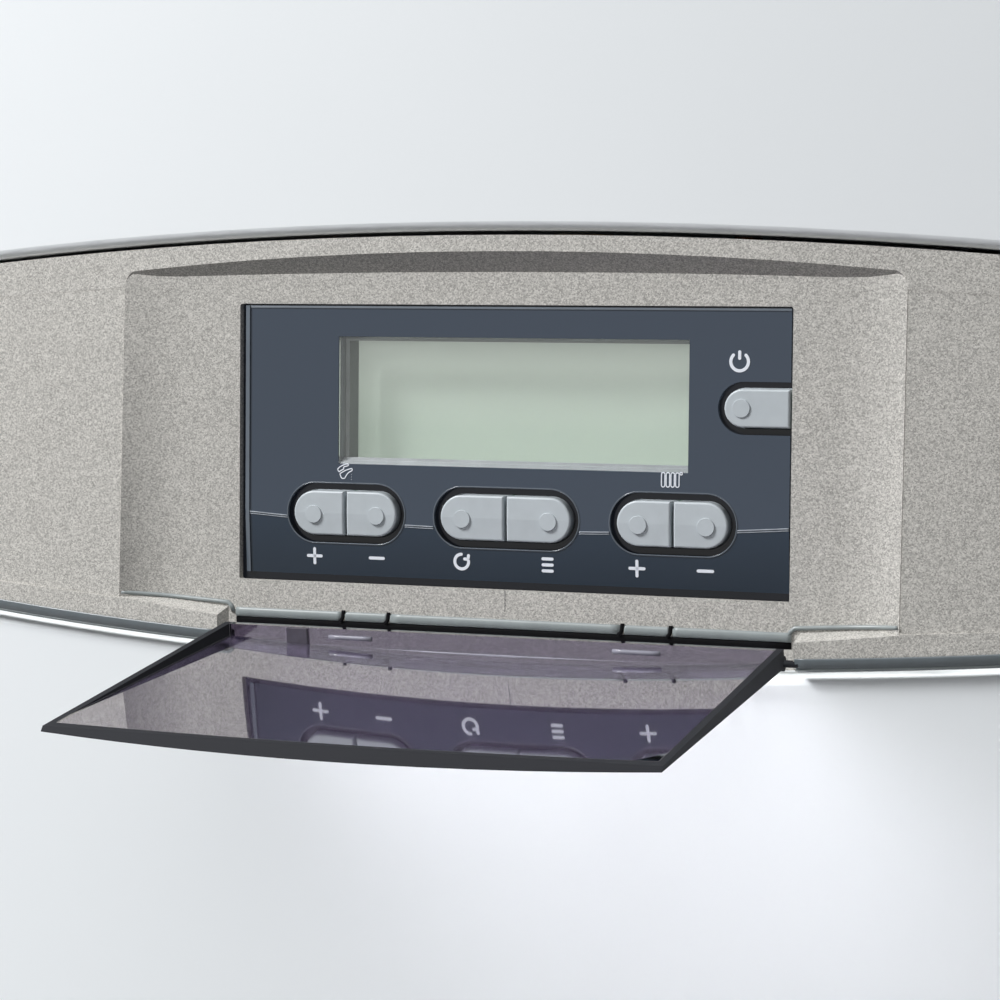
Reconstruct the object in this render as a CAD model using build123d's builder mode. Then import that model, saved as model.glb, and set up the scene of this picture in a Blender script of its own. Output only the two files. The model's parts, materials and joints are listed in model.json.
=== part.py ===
from build123d import *
import os
from math import atan2, cos, degrees, radians, sin, sqrt, tan

# Wall-hung, room-sealed combi boiler, as the separate pieces it comes apart into. Millimetres.
# Origin: midway between the two fixing holes of the hanging bracket, on the wall.
# +X is to the right seen from the front, +Y points into the wall, +Z is up.

# ---------------------------------------------------------------- casing
casing_width = 400.0
casing_height = 730.0
cover_thick = 1.5
cover_edge = 2.5              # rounding of the covers' front edges
overall_depth = 299.0         # wall to the foremost point of the fascia
hang_drop = 70.0              # fixing holes under the top
sheet = 1.2                   # steel sheet of the casing and frame
front_radius = 1720.0         # the front bows about a vertical axis
cover_return = 22.0           # how far the covers turn back at their rim
front_stock = 60.0            # drawn ahead of the rim, then trimmed to the bow
cover_gap = 1.3               # shadow gap between a cover and the fascia
seam = 0.3                    # clearance between neighbouring panels
screw_radius = 2.0
screw_head = 3.8
screw_head_height = 2.2
cover_screw_inset = 30.0      # screws that hold the lower cover
cover_screw_set_back = 12.0
collar_screw_x = 52.0         # screws that hold the flue collar
collar_screw_y = 30.0
flange_height = 14.0          # turned edges of the panels
top_flange_gap = 2.0          # top panel's turned edge over the sealed chamber
vent_count = 16               # louvres in the bottom panel
vent_pitch = 14.0
vent_width = 5.0
vent_length = 34.0
vent_set_back = 40.0
gland_inset = 32.0            # from the casing's right side
gland_y = -60.0
gland_radius = 8.0
gland_bore = 3.5
gland_collar = 4.0            # nut inside the panel, wider than the thread
gland_nut_height = 5.0
gland_cap = 3.0               # cap under the panel, wider than the thread
gland_cap_height = 17.0
hole_clear = 0.3              # round a part that passes through a panel

# ---------------------------------------------------------------- fascia band
band_above_base = 180.0       # middle of the panel opening above the underside
band_top = 59.6               # crown of the band's upper edge
band_bottom = 60.6            # crown of its lower edge
band_radius = 1750.0          # arc of both edges
fascia_wall = 2.5
stand_top = 5.6               # fascia ahead of its recess floor, high up
stand_bottom = 9.9            # and low down
stand_span = 114.0            # height between those two
recess_left = 119.8           # recess edges, where its side scoops start
recess_right = 114.8
scoop_width = 18.0            # each scoop, from its edge to the flat floor
scoop_least = 0.4             # and its least rise
floor_top = 49.4
floor_top_radius = 3550.0
floor_bottom = 51.6
floor_bottom_radius = 1100.0
lower_lip_angle = 15.0        # slope of the lip under the floor
step_top = 48.2               # inset side panels of the band
step_bottom = 50.2
step_radius = 2050.0
step_depth = 0.8
strip_cut_half = 86.4         # gap in the lower strip that takes the flap
band_rounding = 4.0           # lower front edge
recess_corner = 3.5           # upper corners of the recess
opening_width = 166.0
opening_height = 80.3
opening_corner = 0.8
slit_centre = 42.4            # spring tongues beside the hinge
slit_pitch = 14.1
slit_width = 1.0
slit_height = 2.4
slit_foot = 0.8               # slits above the recess floor's lower edge

# ---------------------------------------------------------------- flap
flap_half = 83.7
flap_skin = 1.8
flap_side = 2.0
flap_rim = 4.6                # thick bar along the free edge
flap_clearance = 2.5          # inside of the closed flap to the floor
flap_bottom = 56.0            # closed flap's lower end, under the middle
flap_lip_gap = 0.7
flap_swing = 99.4             # degrees from open to closed
pivot_ahead = 6.6             # hinge line ahead of the floor
pivot_drop = 56.1             # and under the middle of the panel
pin_radius = 1.0
pin_socket_radius = 1.25
pin_length = 4.0
ear_radius = 2.1
socket_end = 1.0              # room past the end of the pin

# ---------------------------------------------------------------- display panel
insert_left = 81.4
insert_right = 82.4
insert_top = 39.6
insert_bottom = 37.9
insert_set_back = 0.6         # face behind the recess floor
panel_thick = 3.4
panel_thick_keys = 6.9        # lower part, which guides the keys
panel_guide_rise = 2.0        # and reaches this far above their pockets
panel_cut = 12.0              # cuts through it, deeper than it is thick
crease = 23.2                 # bend of the panel below its middle
crease_radius = 1100.0        # arc of the bend, which rises to the sides
crease_tilt = 4.0             # the lower part leans back
lean_depth = 1.5              # as deep as the lean is drawn
flange_margin = 3.0
flange_thick = 1.2
flange_seat = 0.1             # flange behind the fascia
window_left = 51.8
window_right = 53.6
window_top = 30.9
window_bottom = -5.7
window_thick = 1.0
window_set_back = 0.2
window_clear = 0.1
lcd_depth = 11.8              # glass behind the panel's face
lcd_thick = 3.0
lcd_margin = 1.6
bezel_start = 3.6             # stepped frame between the window and the glass
bezel_step = 5.4
bezel_inset = 1.2
bezel_rim = 2.2
lcd_leg = 1.5                 # half the width of its legs
lcd_leg_inset = 5.6
key_line = 20.0               # middle of the keys below the panel's middle
key_height = 12.7
key_rounding = 0.6            # their front edges
key_clear = 0.35
key_groove = 2.4              # pocket round each pair of keys
power_groove = 2.0            # and round the power key
pocket_depth = 1.8
key_split = 0.9
key_proud = 0.9               # keys ahead of the panel's face
key_travel = 1.2
key_flange = 1.0
key_trim = 0.4                # flange short of the edge beside a neighbour
key_back_gap = 0.2            # flange behind the panel
key_ridge = 0.5               # key's lower edge behind its middle
dot_radius = 2.65
dot_drop = 0.4                # under the middle of the key
dot_height = 0.35
dot_root = 0.2                # and this far into the key
dot_taper = 20
key_stop = 0.15               # plunger to the switch after full travel
plunger_radius = 1.6
outer_pair = 49.3             # middle of the outer pairs of keys
outer_pair_half = 16.05
inner_pair_half = 19.6
outer_dot = 9.8
inner_dot = 13.0
power_left = 63.9
power_height = 10.5
power_middle = 12.4
power_dot = 68.75
board_depth = 17.0            # circuit board behind the recess floor
board_thick = 1.6
board_half_width = 100.0
board_half_height = 38.0
switch_size = 6.0
switch_depth = 3.0
switch_reach = 4.2            # with its button
board_blocks = [((-62.5,), (35.0, 20.0, 35.0), -7.5),           # transformer
                ((-20.0, 0.0, 20.0), (16.0, 15.0, 20.0), 15.0),  # relays
                ((-30.0, 5.0, 40.0), (28.0, 10.0, 10.0), -29.0)]  # plug sockets
capacitor_places = (40.0, 58.0, 76.0)
capacitor_radius = 6.0
capacitor_height = 18.0
box_half_width = 112.0
box_half_height = 44.0
box_depth = 46.0
box_wall = 2.0
post_radius = 3.0

# ---------------------------------------------------------------- frame and bracket
frame_gap = 14.0              # wall to the frame's back plate
frame_side = 191.2            # outside of the frame's side walls
frame_wall_depth = 100.0
shelf_width = 40.0
shelf_depth = 250.0
bracket_half = 120.0
bracket_height = 40.0
bracket_thick = 2.0
bracket_hole_pitch = 160.0
bracket_hole_radius = 4.0
bracket_reach = 12.0
hook_height = 12.0

# ---------------------------------------------------------------- heat cell
chamber_half = 176.0
chamber_back = 92.0           # wall to the back of the sealed chamber
chamber_front_gap = 30.7      # its front behind the foremost point of the covers
chamber_sheet = 1.0
chamber_base_height = 248.0   # over the underside
chamber_top_gap = 8.0
door_thick = 1.2
chamber_rim = 12.0            # turned edge that the door closes on
door_panel_rise = 4.0         # raised middle of the door
flue_y = -155.0
flue_radius = 30.0            # bore that takes a 60 mm flue pipe
air_radius = 50.0             # bore that takes a 100 mm air duct
flue_wall = 1.2
collar_height = 35.0
collar_flange_radius = 68.0
collar_flange_thick = 3.0
collar_spider = 8.0           # webs that centre the flue in the air duct
cell_front = 208.0            # heat cell, measured from the wall
cell_back = 106.0
burner_gap = 8.0              # burner inside the firebox
cell_clear = 3.0              # its front and back inside the firebox's
burner_height = 20.0           # tray under the blades
burner_ear = 12.0             # arms that carry the gas manifold
blade_count = 11
blade_width = 8.0
blade_height = 34.0
blade_slot = 1.6
manifold_size = 14.0
injector_radius = 3.0
riser_gap = 18.0              # side of the heat cell to the middle of the riser beside it
flame_gap = 12.0              # blades to the firebox
electrode_pitch = 24.0
electrode_plate = 1.5
electrode_sleeve = 2.6
electrode_wire = 1.0
electrode_reach = 26.0        # behind the firebox's front
electrode_drop = 5.0          # under the firebox's foot, in the gap over the blades
firebox_sheet = 1.0
board_insulation = 9.0
exchanger_height = 62.0
fin_count = 44
fin_thick = 0.8
exchanger_tubes = 5
exchanger_tube_radius = 7.0
header_thick = 10.0
hood_height = 52.0
fan_radius = 46.0
fan_top_gap = 41.0            # fan's scroll under the top of the chamber
fan_depth = 44.0
fan_wall = 2.0
fan_offset = 26.0             # scroll axis left of the flue
duct_foot = 6.0               # outlet duct's walls run this far down the scroll
inlet_depth = 24.0            # duct behind the scroll
inlet_half = 32.0
impeller_radius = 36.0
impeller_blades = 24
impeller_chord = 9.0
impeller_blade = 1.2
impeller_hub = 8.0
motor_radius = 22.0
motor_length = 34.0
shaft_radius = 3.0
shaft_clear = 0.2
vessel_radius = 160.0
vessel_thick = 68.0
vessel_wall = 1.5
vessel_rounding = 24.5
vessel_seam = 3.0             # welded flange round its middle
vessel_port_radius = 7.0
vessel_height = 450.0         # its middle over the underside

# ---------------------------------------------------------------- water and gas
pipe_y = -125.0               # line of the pipe connections
pipe_pitch = 65.0
tail_radius = 11.0
tail_bore = 8.0
tail_reach = 12.0             # tails below the underside
block_half = 22.0
block_base = 30.0
block_height = 85.0
arm_inner = 50.0
arm_height = 55.0
arm_base = 60.0
arm_front = 15.0
arm_back = 83.0
seat_size = 50.0
seat_thick = 6.0
pump_radius = 42.0
pump_thick = 36.0
pump_motor_radius = 40.0
pump_box_gap = 26.1           # its motor behind the control box
pump_wall = 4.0
pump_box_half = 18.0          # terminal box on the motor
air_vent_offset = 30.0        # beside the pump's middle
air_vent_radius = 14.0
air_vent_height = 30.0
air_vent_neck = 8.0
air_vent_cap = 5.0
rotor_clear = 1.0
neck_radius = 12.0
neck_height = 14.0
pipe_radius = 9.0
pipe_wall = 1.0
bend_radius = 12.0
gas_bend = 20.0
plates_half = 94.0
plates_height = 74.0
plates_thick = 45.0
plates_count = 16
plates_corner = 12.0
plates_step = 2.0             # every second plate narrower
port_inset = 14.0             # ports from the plates' ends
port_radius = 9.0
gas_half = 34.0
gas_depth = 78.0
gas_height = 80.0
gas_base = 100.0
coil_radius = 15.0
coil_length = 30.0
sensor_radius = 12.0
turbine_radius = 8.4
spool_radius = 8.0
spool_travel = 8.0
spool_clear = 0.3
spool_start = 2.0             # spool behind the block's front
spool_length = 24.0
spool_tip = 2.0
spool_end = 2.0               # room past its travel
motor_half = 20.0             # diverter motor
motor_depth = 46.0
port_length = 5.0             # plate exchanger's ports
spindle_radius = 4.0
spindle_length = 8.0
turbine_clear = 0.6
hose_radius = 5.0
hose_wall = 1.2
hose_bend = 15.0
hose_offset = 10.0
hose_fall = 60.0
port_drop = 12.0              # vessel's port under its rim
relief_x = 85.0
relief_radius = 10.0
relief_length = 24.0
knob_radius = 13.0
knob_length = 14.0
knob_grips = 8
knob_grip_radius = 3.0
drain_radius = 6.0
valve_nut = 30.0
valve_nut_height = 16.0
valve_body_radius = 15.0
valve_body_height = 30.0
union_radius = 13.2           # G 3/4 thread
union_length = 14.0
stem_radius = 6.0
lever_length = 42.0
lever_width = 11.0
lever_thick = 4.0
lever_seat = 0.3
spigot_radius = 3.0
stem_reach = 10.0             # lever ahead of the valve's body

# ---------------------------------------------------------------- derived places
half = casing_width / 2
z_high = hang_drop
z_low = z_high - casing_height
y_floor = stand_bottom - overall_depth
y_cover = y_floor - stand_top
z_band = z_low + band_above_base
lean = degrees(atan2(stand_bottom - stand_top, stand_span))
stand_middle = (stand_top + stand_bottom) / 2
y_rim = y_cover + front_radius - sqrt(front_radius**2 - half**2) + cover_return
y_side_front = y_rim + seam
z_chamber = z_low + chamber_base_height
z_chamber_top = z_high - chamber_top_gap
y_chamber_front = y_cover + chamber_front_gap
z_seat = z_low + sheet
z_tail = z_low - tail_reach
pipe_x = {"flow": -2 * pipe_pitch, "hot": -pipe_pitch, "gas": 0.0, "cold": pipe_pitch,
          "return": 2 * pipe_pitch}
firebox_half = 2 * pipe_pitch - riser_gap
burner_half = firebox_half - burner_gap
gland_x = half - gland_inset
cover_screw_x = half - cover_screw_inset
centred_low = (Align.CENTER, Align.CENTER, Align.MIN)


def block(x, y, z, mode=Mode.ADD):
    """A box that spans the pairs x, y and z."""
    with Locations(((x[0] + x[1]) / 2, (y[0] + y[1]) / 2, (z[0] + z[1]) / 2)):
        Box(abs(x[1] - x[0]), abs(y[1] - y[0]), abs(z[1] - z[0]), mode=mode)


def rod(radius, start, end, mode=Mode.ADD):
    """A round bar from one point to another."""
    run = Vector(*end) - Vector(*start)
    with Locations(Plane(origin=start, z_dir=run)):
        Cylinder(radius, run.length, align=centred_low, mode=mode)


def band_plane(y):
    """The plane at depth y that faces forward, centred on the panel opening."""
    return Plane(origin=(0, y, z_band), x_dir=(1, 0, 0), z_dir=(0, -1, 0))


def drop(x, radius):
    """How far a crown of this radius has fallen at x."""
    return radius - sqrt(radius**2 - x**2)


def lens(side, crown, crown_radius, foot, foot_radius):
    """An outline with bowed upper and lower edges and upright sides."""
    with BuildSketch() as outline:
        with BuildLine():
            high = crown - drop(side, crown_radius)
            low = -foot + drop(side, foot_radius)
            ThreePointArc((-side, high), (0, crown), (side, high))
            Line((side, high), (side, low))
            ThreePointArc((side, low), (0, -foot), (-side, low))
            Line((-side, low), (-side, high))
        make_face()
    return outline.sketch


def fascia_bow(depth=0.0):
    """Trims to the fascia's leaning, bowed front, this far behind its surface."""
    front = Vector(0, y_floor - stand_middle, z_band)
    inward = Vector(0, cos(radians(lean)), -sin(radians(lean)))
    axis = Plane(origin=front + inward * front_radius, x_dir=(1, 0, 0),
                 z_dir=(0, sin(radians(lean)), cos(radians(lean))))
    with Locations(axis):
        Cylinder(front_radius - depth, casing_height, mode=Mode.INTERSECT)


def cover_bow(depth=0.0):
    """Trims to the bowed front of the white covers, this far behind its surface."""
    with Locations((0, y_cover + front_radius, z_low + casing_height / 2)):
        Cylinder(front_radius - depth, casing_height * 2, mode=Mode.INTERSECT)


def pipe(points, radius, wall, bend):
    """A bent tube through the points."""
    with BuildPart() as tube:
        with BuildLine() as route:
            FilletPolyline(*points, radius=bend)
        with BuildSketch(Plane(origin=route.line @ 0, z_dir=route.line % 0)):
            Circle(radius)
            Circle(radius - wall, mode=Mode.SUBTRACT)
        sweep(path=route.line)
    return tube.part


def finish(piece, label):
    """Names a finished piece and writes its file."""
    piece.label = label
    export_step(piece, f"parts/{label}.step")
    print(f"{label:24s} solids {len(piece.solids()):3d}  volume {piece.volume / 1000:9.1f} cm3")


os.makedirs("parts", exist_ok=True)

# ================================================================ fascia
with BuildPart() as fascia_cavity:
    with BuildSketch(band_plane(y_rim + 1)):
        add(lens(half - fascia_wall, band_top - fascia_wall, band_radius,
                 band_bottom - fascia_wall, band_radius))
    extrude(amount=cover_return + front_stock)
    fascia_bow(fascia_wall)
    block((-recess_left - fascia_wall, recess_right + fascia_wall),
          (y_floor - front_stock, y_floor + fascia_wall),
          (z_band - band_bottom - 5, z_band + band_top + 5), mode=Mode.SUBTRACT)

# the recess: sloped lips above and below, hollow scoops at its ends
lip_depth = 2 * stand_bottom
with BuildPart() as recess_lips:
    for ahead in (0.0, lip_depth):
        with BuildSketch(band_plane(y_floor - ahead)):
            add(lens(recess_left + 10, floor_top + ahead, floor_top_radius,
                     floor_bottom + ahead * tan(radians(lower_lip_angle)), floor_bottom_radius))
    loft(ruled=True)
with BuildPart() as recess:
    for z in (floor_top + lip_depth, -floor_bottom - lip_depth):
        lean_back = z * tan(radians(lean))
        ends = [(x, y_floor - max(stand_middle - lean_back - drop(x, front_radius), scoop_least))
                for x in (-recess_left, recess_right)]
        floor_ends = [(-recess_left + scoop_width, y_floor), (recess_right - scoop_width, y_floor)]
        with BuildSketch(Plane.XY.offset(z_band + z)):
            with BuildLine():
                TangentArc(floor_ends[0], ends[0], tangent=(-1, 0))
                Line(*floor_ends)
                TangentArc(floor_ends[1], ends[1], tangent=(1, 0))
                Polyline(ends[1], (recess_right, y_floor - lip_depth), (-recess_left, y_floor - lip_depth),
                         ends[0])
            make_face()
    loft(ruled=True)
    add(recess_lips.part, mode=Mode.INTERSECT)
    corners = [recess.edges().group_by(Axis.X)[end].sort_by(Axis.Z)[-1] for end in (0, -1)]
    fillet(corners, recess_corner)

# the inset panels of the band, left and right of the recess
with BuildPart() as inset:
    with BuildSketch(band_plane(y_rim)):
        add(lens(half + 1, step_top, step_radius, step_bottom, step_radius))
        with Locations(((recess_right - recess_left) / 2, 0)):
            Rectangle(recess_left + recess_right, 4 * band_top, mode=Mode.SUBTRACT)
    extrude(amount=cover_return + front_stock)
with BuildPart() as inset_core:
    add(inset.part)
    fascia_bow(step_depth)

with BuildPart() as fascia:
    with BuildSketch(band_plane(y_rim)):
        add(lens(half, band_top, band_radius, band_bottom, band_radius))
    extrude(amount=cover_return + front_stock)
    fascia_bow()
    lower_edge = fascia.faces().sort_by(Axis.Z)[0].edges().sort_by(Axis.Y)[0]
    fillet(lower_edge, band_rounding)
    add(fascia_cavity.part, mode=Mode.SUBTRACT)
    add(recess.part, mode=Mode.SUBTRACT)
    add(inset.part - inset_core.part, mode=Mode.SUBTRACT)
    block((-strip_cut_half, strip_cut_half), (y_floor - front_stock, y_floor),
          (z_band - band_bottom - 5, z_band - floor_bottom + 4), mode=Mode.SUBTRACT)
    with BuildSketch(band_plane(y_floor + fascia_wall + 1)):
        RectangleRounded(opening_width, opening_height, opening_corner)
        with GridLocations(2 * slit_centre, 0, 2, 1):
            with GridLocations(slit_pitch, 0, 2, 1):
                with Locations((0, -floor_bottom + slit_height / 2 + slit_foot)):
                    Rectangle(slit_width, slit_height)
    extrude(amount=fascia_wall + 2, mode=Mode.SUBTRACT)
    for side in (-1, 1):
        socket = (side * strip_cut_half, y_floor - pivot_ahead, z_band - pivot_drop)
        x_end = side * (flap_half + pin_length + socket_end)
        rod(pin_socket_radius, socket, (x_end, socket[1], socket[2]), mode=Mode.SUBTRACT)
finish(fascia.part, "fascia")

# ================================================================ flap
# drawn closed, flush with the fascia, then opened about its hinge line
lip_radius = 1 / (1 / floor_top_radius + 1 / front_radius)
lip_crown = floor_top + stand_top
flap_top = lip_crown - flap_lip_gap
flap_line = (0, y_floor - pivot_ahead, z_band - pivot_drop)


def flap_outline(inset, rim):
    """The closed flap seen from the front, inset by its wall, with a bar left along its top."""
    side = flap_half - inset
    high = flap_top - rim - drop(side, lip_radius)
    with BuildSketch() as outline:
        with BuildLine():
            ThreePointArc((-side, high), (0, flap_top - rim), (side, high))
            Polyline((side, high), (side, -flap_bottom + inset), (-side, -flap_bottom + inset), (-side, high))
        make_face()
    return outline.sketch


with BuildPart() as flap_reach:
    for ahead in (0.0, lip_depth):
        with BuildSketch(band_plane(y_floor - ahead)):
            add(lens(recess_left, floor_top - flap_lip_gap + ahead, floor_top_radius,
                     2 * band_bottom, floor_bottom_radius))
    loft(ruled=True)

with BuildPart() as flap_hollow:
    with BuildSketch(band_plane(y_floor)):
        add(flap_outline(flap_side, flap_rim))
    extrude(amount=2 * stand_bottom)
    fascia_bow(flap_skin)

with BuildPart() as flap_closed:
    with BuildSketch(band_plane(y_floor - flap_clearance)):
        add(flap_outline(0, 0))
    extrude(amount=2 * stand_bottom)
    fascia_bow()
    add(flap_reach.part, mode=Mode.INTERSECT)
    for side in (-1, 1):
        rod(ear_radius, (side * (flap_half - flap_side), flap_line[1], flap_line[2]),
            (side * flap_half, flap_line[1], flap_line[2]))
    add(flap_hollow.part, mode=Mode.SUBTRACT)
    for side in (-1, 1):
        rod(pin_radius, (side * (flap_half - flap_side), flap_line[1], flap_line[2]),
            (side * (flap_half + pin_length), flap_line[1], flap_line[2]))
flap = flap_closed.part.rotate(Axis(flap_line, (1, 0, 0)), flap_swing)
finish(flap, "flap")

# ================================================================ display panel
y_face = y_floor + insert_set_back
y_flange = y_floor + fascia_wall + flange_seat
z_keys = z_band - key_line
key_pairs = [(-outer_pair, outer_pair_half, outer_dot), (0.0, inner_pair_half, inner_dot),
             (outer_pair, outer_pair_half, outer_dot)]
key_names = [("button_hot_water_plus", "button_hot_water_minus"), ("button_reset", "button_menu"),
             ("button_heating_plus", "button_heating_minus")]


def lean_outline(fall):
    """What lies under the crease, once this has fallen with the lean of the panel's lower part."""
    crown = -crease - fall
    high = crown + drop(half, crease_radius)
    low = crown - insert_bottom
    with BuildSketch() as outline:
        with BuildLine():
            ThreePointArc((-half, high), (0, crown), (half, high))
            Polyline((half, high), (half, low), (-half, low), (-half, high))
        make_face()
    return outline.sketch


def power_outline(grow):
    """The power key: a round left end, and open to the panel's edge on the right."""
    radius = power_height / 2 + grow
    left = power_left - grow
    right = insert_right + (2 * grow if grow > 0 else 0)
    with BuildSketch() as outline:
        with Locations((left + radius, power_middle)):
            Circle(radius)
        with Locations(((left + radius + right) / 2, power_middle)):
            Rectangle(right - left - radius, 2 * radius)
    return outline.sketch


with BuildPart() as panel_lean:
    for depth in (0.0, lean_depth):
        with BuildSketch(band_plane(y_face + depth)):
            add(lean_outline(depth / tan(radians(crease_tilt))))
    loft(ruled=True)

with BuildPart() as display_panel:
    block((-insert_left, insert_right), (y_face, y_face + panel_thick),
          (z_band - insert_bottom, z_band + insert_top))
    block((-insert_left, insert_right), (y_face, y_face + panel_thick_keys),
          (z_band - insert_bottom, z_keys + key_height / 2 + key_clear + panel_guide_rise))
    block((-insert_left - flange_margin, insert_right + flange_margin),
          (y_flange, y_flange + flange_thick),
          (z_band - insert_bottom - flange_margin, z_band + insert_top + flange_margin))
    add(panel_lean.part, mode=Mode.SUBTRACT)
    with BuildSketch(band_plane(y_face + panel_cut)):
        with Locations(((window_right - window_left) / 2, (window_top + window_bottom) / 2)):
            Rectangle(window_left + window_right, window_top - window_bottom)
        for middle, reach, _ in key_pairs:
            with Locations((middle, -key_line)):
                SlotOverall(2 * (reach + key_clear), key_height + 2 * key_clear)
        add(power_outline(key_clear))
    extrude(amount=2 * panel_cut, mode=Mode.SUBTRACT)
    with BuildSketch(band_plane(y_face + pocket_depth)):
        for middle, reach, _ in key_pairs:
            with Locations((middle, -key_line)):
                SlotOverall(2 * (reach + key_groove), key_height + 2 * key_groove)
        add(power_outline(power_groove))
    extrude(amount=panel_cut, mode=Mode.SUBTRACT)
finish(display_panel.part, "display_panel")

with BuildPart() as display_window:
    y_window = y_face + window_set_back
    block((-window_left + window_clear, window_right - window_clear), (y_window, y_window + window_thick),
          (z_band + window_bottom + window_clear, z_band + window_top - window_clear))
finish(display_window.part, "display_window")

# ---------------------------------------------------------------- keys
y_key = y_face - key_proud
y_key_back = y_face + panel_thick_keys + key_back_gap
y_board = y_floor + board_depth

def key(outline, dots, ridge, flanges):
    """A key with its plunger, and a flange as wide as stated beyond its left and right edges."""
    with BuildPart() as button:
        with BuildSketch(band_plane(y_key_back)):
            add(outline)
        extrude(amount=y_key_back - y_key)
        if ridge:
            with BuildSketch(Plane.YZ.offset(-half)):
                with BuildLine():
                    Polyline((y_key, z_keys), (y_key + key_ridge, z_keys - key_height / 2 - 1),
                             (y_key - 3, z_keys - key_height / 2 - 1), close=True)
                make_face()
            extrude(amount=casing_width, mode=Mode.SUBTRACT)
        fronts = button.faces().sort_by(Axis.Y)[:2 if ridge else 1]
        rims = [edge for edge in fronts.edges()
                if not ridge or max(abs((edge @ 0).Z - z_keys), abs((edge @ 1).Z - z_keys)) > 0.01]
        fillet(rims, key_rounding)
        box = button.part.bounding_box()
        centre = box.center()
        block((box.min.X - flanges[0], box.max.X + flanges[1]), (y_key_back, y_key_back + key_flange),
              (box.min.Z - key_flange, box.max.Z + key_flange))
        rod(plunger_radius, (centre.X, y_key_back, centre.Z),
            (centre.X, y_board - switch_reach - key_travel - key_stop, centre.Z))
        for x, z in dots:
            with BuildSketch(band_plane(y_key + dot_root)):
                with Locations((x, z - z_band)):
                    Circle(dot_radius)
            extrude(amount=dot_root + dot_height, taper=dot_taper)
    return button.part


key_centres = []
for (middle, reach, dot), names in zip(key_pairs, key_names):
    for side, name in zip((-1, 1), names):
        with BuildSketch() as outline:
            with Locations((middle, -key_line)):
                SlotOverall(2 * reach, key_height)
            with Locations((middle - side * (reach - key_split / 2), -key_line)):
                Rectangle(2 * reach, 2 * key_height, mode=Mode.SUBTRACT)
        flanges = (key_flange, -key_trim) if side < 0 else (-key_trim, key_flange)
        piece = key(outline.sketch, [(middle + side * dot, z_keys - dot_drop)], True, flanges)
        key_centres.append((piece.bounding_box().center().X, z_keys))
        finish(piece, name)
power_key = key(power_outline(0.0), [(power_dot, z_band + power_middle)], False, (key_flange, -key_trim))
key_centres.append((power_key.bounding_box().center().X, z_band + power_middle))
finish(power_key, "power_button")

# ---------------------------------------------------------------- display, board and their box
y_glass = y_face + lcd_depth
with BuildPart() as lcd_module:
    block((-window_left - lcd_margin, window_right + lcd_margin), (y_glass, y_glass + lcd_thick),
          (z_band + window_bottom + 0.2, z_band + window_top + lcd_margin))
    for x in (lcd_leg_inset - window_left, window_right - lcd_leg_inset):
        for z in (z_band + window_bottom + lcd_leg_inset, z_band + window_top - lcd_leg_inset):
            block((x - lcd_leg, x + lcd_leg), (y_glass + lcd_thick, y_board), (z - lcd_leg, z + lcd_leg))
finish(lcd_module.part, "lcd_module")

with BuildPart() as display_bezel:
    for grow, near, far in ((0.0, bezel_start, bezel_step), (-bezel_inset, bezel_step, lcd_depth)):
        block((-window_left - bezel_rim, window_right + bezel_rim), (y_face + near, y_face + far),
              (z_band + window_bottom - bezel_inset, z_band + window_top + bezel_rim))
        block((-window_left - grow, window_right + grow), (y_face + near - 1, y_face + far + 1),
              (z_band + window_bottom - grow, z_band + window_top + grow), mode=Mode.SUBTRACT)
finish(display_bezel.part, "display_bezel")

with BuildPart() as control_board:
    block((-board_half_width, board_half_width), (y_board, y_board + board_thick),
          (z_band - board_half_height, z_band + board_half_height))
    y_parts = y_board + board_thick
    for x, z in key_centres:
        block((x - switch_size / 2, x + switch_size / 2), (y_board - switch_depth, y_board),
              (z - switch_size / 2, z + switch_size / 2))
        rod(plunger_radius, (x, y_board, z), (x, y_board - switch_reach, z))
    for places, size, z in board_blocks:
        for x in places:
            block((x - size[0] / 2, x + size[0] / 2), (y_parts, y_parts + size[1]),
                  (z_band + z - size[2] / 2, z_band + z + size[2] / 2))
    for x in capacitor_places:
        rod(capacitor_radius, (x, y_parts, z_band - 8), (x, y_parts + capacitor_height, z_band - 8))
finish(control_board.part, "control_board")

y_box_front = y_floor + fascia_wall + flange_thick + 0.3
with BuildPart() as control_box:
    block((-box_half_width, box_half_width), (y_box_front, y_box_front + box_depth),
          (z_band - box_half_height, z_band + box_half_height))
    y_inside = y_box_front + box_depth - box_wall
    block((-box_half_width + box_wall, box_half_width - box_wall), (y_box_front - 1, y_inside),
          (z_band - box_half_height + box_wall, z_band + box_half_height - box_wall), mode=Mode.SUBTRACT)
    for x in (-board_half_width + 6, board_half_width - 6):
        for z in (-board_half_height + 6, board_half_height - 6):
            rod(post_radius, (x, y_board + board_thick, z_band + z), (x, y_inside, z_band + z))
    for x in (-box_half_width - 6, box_half_width + 6):
        with Locations(Plane(origin=(x, y_box_front, z_band), z_dir=(0, 1, 0))):
            Box(12, 24, 3, align=centred_low)
            Hole(screw_radius)
    with Locations(Plane(origin=(0, y_inside, z_band + box_half_height - 18), z_dir=(0, 1, 0))):
        with GridLocations(9, 0, 12, 1):
            Box(4, 20, 3 * box_wall, mode=Mode.SUBTRACT)
finish(control_box.part, "control_box")

# ================================================================ casing
def upper_outline(inset):
    """The front cover seen from the front: arched over the fascia, square at its top."""
    side = half - inset
    crown = band_top + cover_gap + inset
    low = crown - drop(side, band_radius)
    high = z_high - z_band - inset
    with BuildSketch() as outline:
        with BuildLine():
            ThreePointArc((-side, low), (0, crown), (side, low))
            Polyline((side, low), (side, high), (-side, high), (-side, low))
        make_face()
    return outline.sketch


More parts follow.
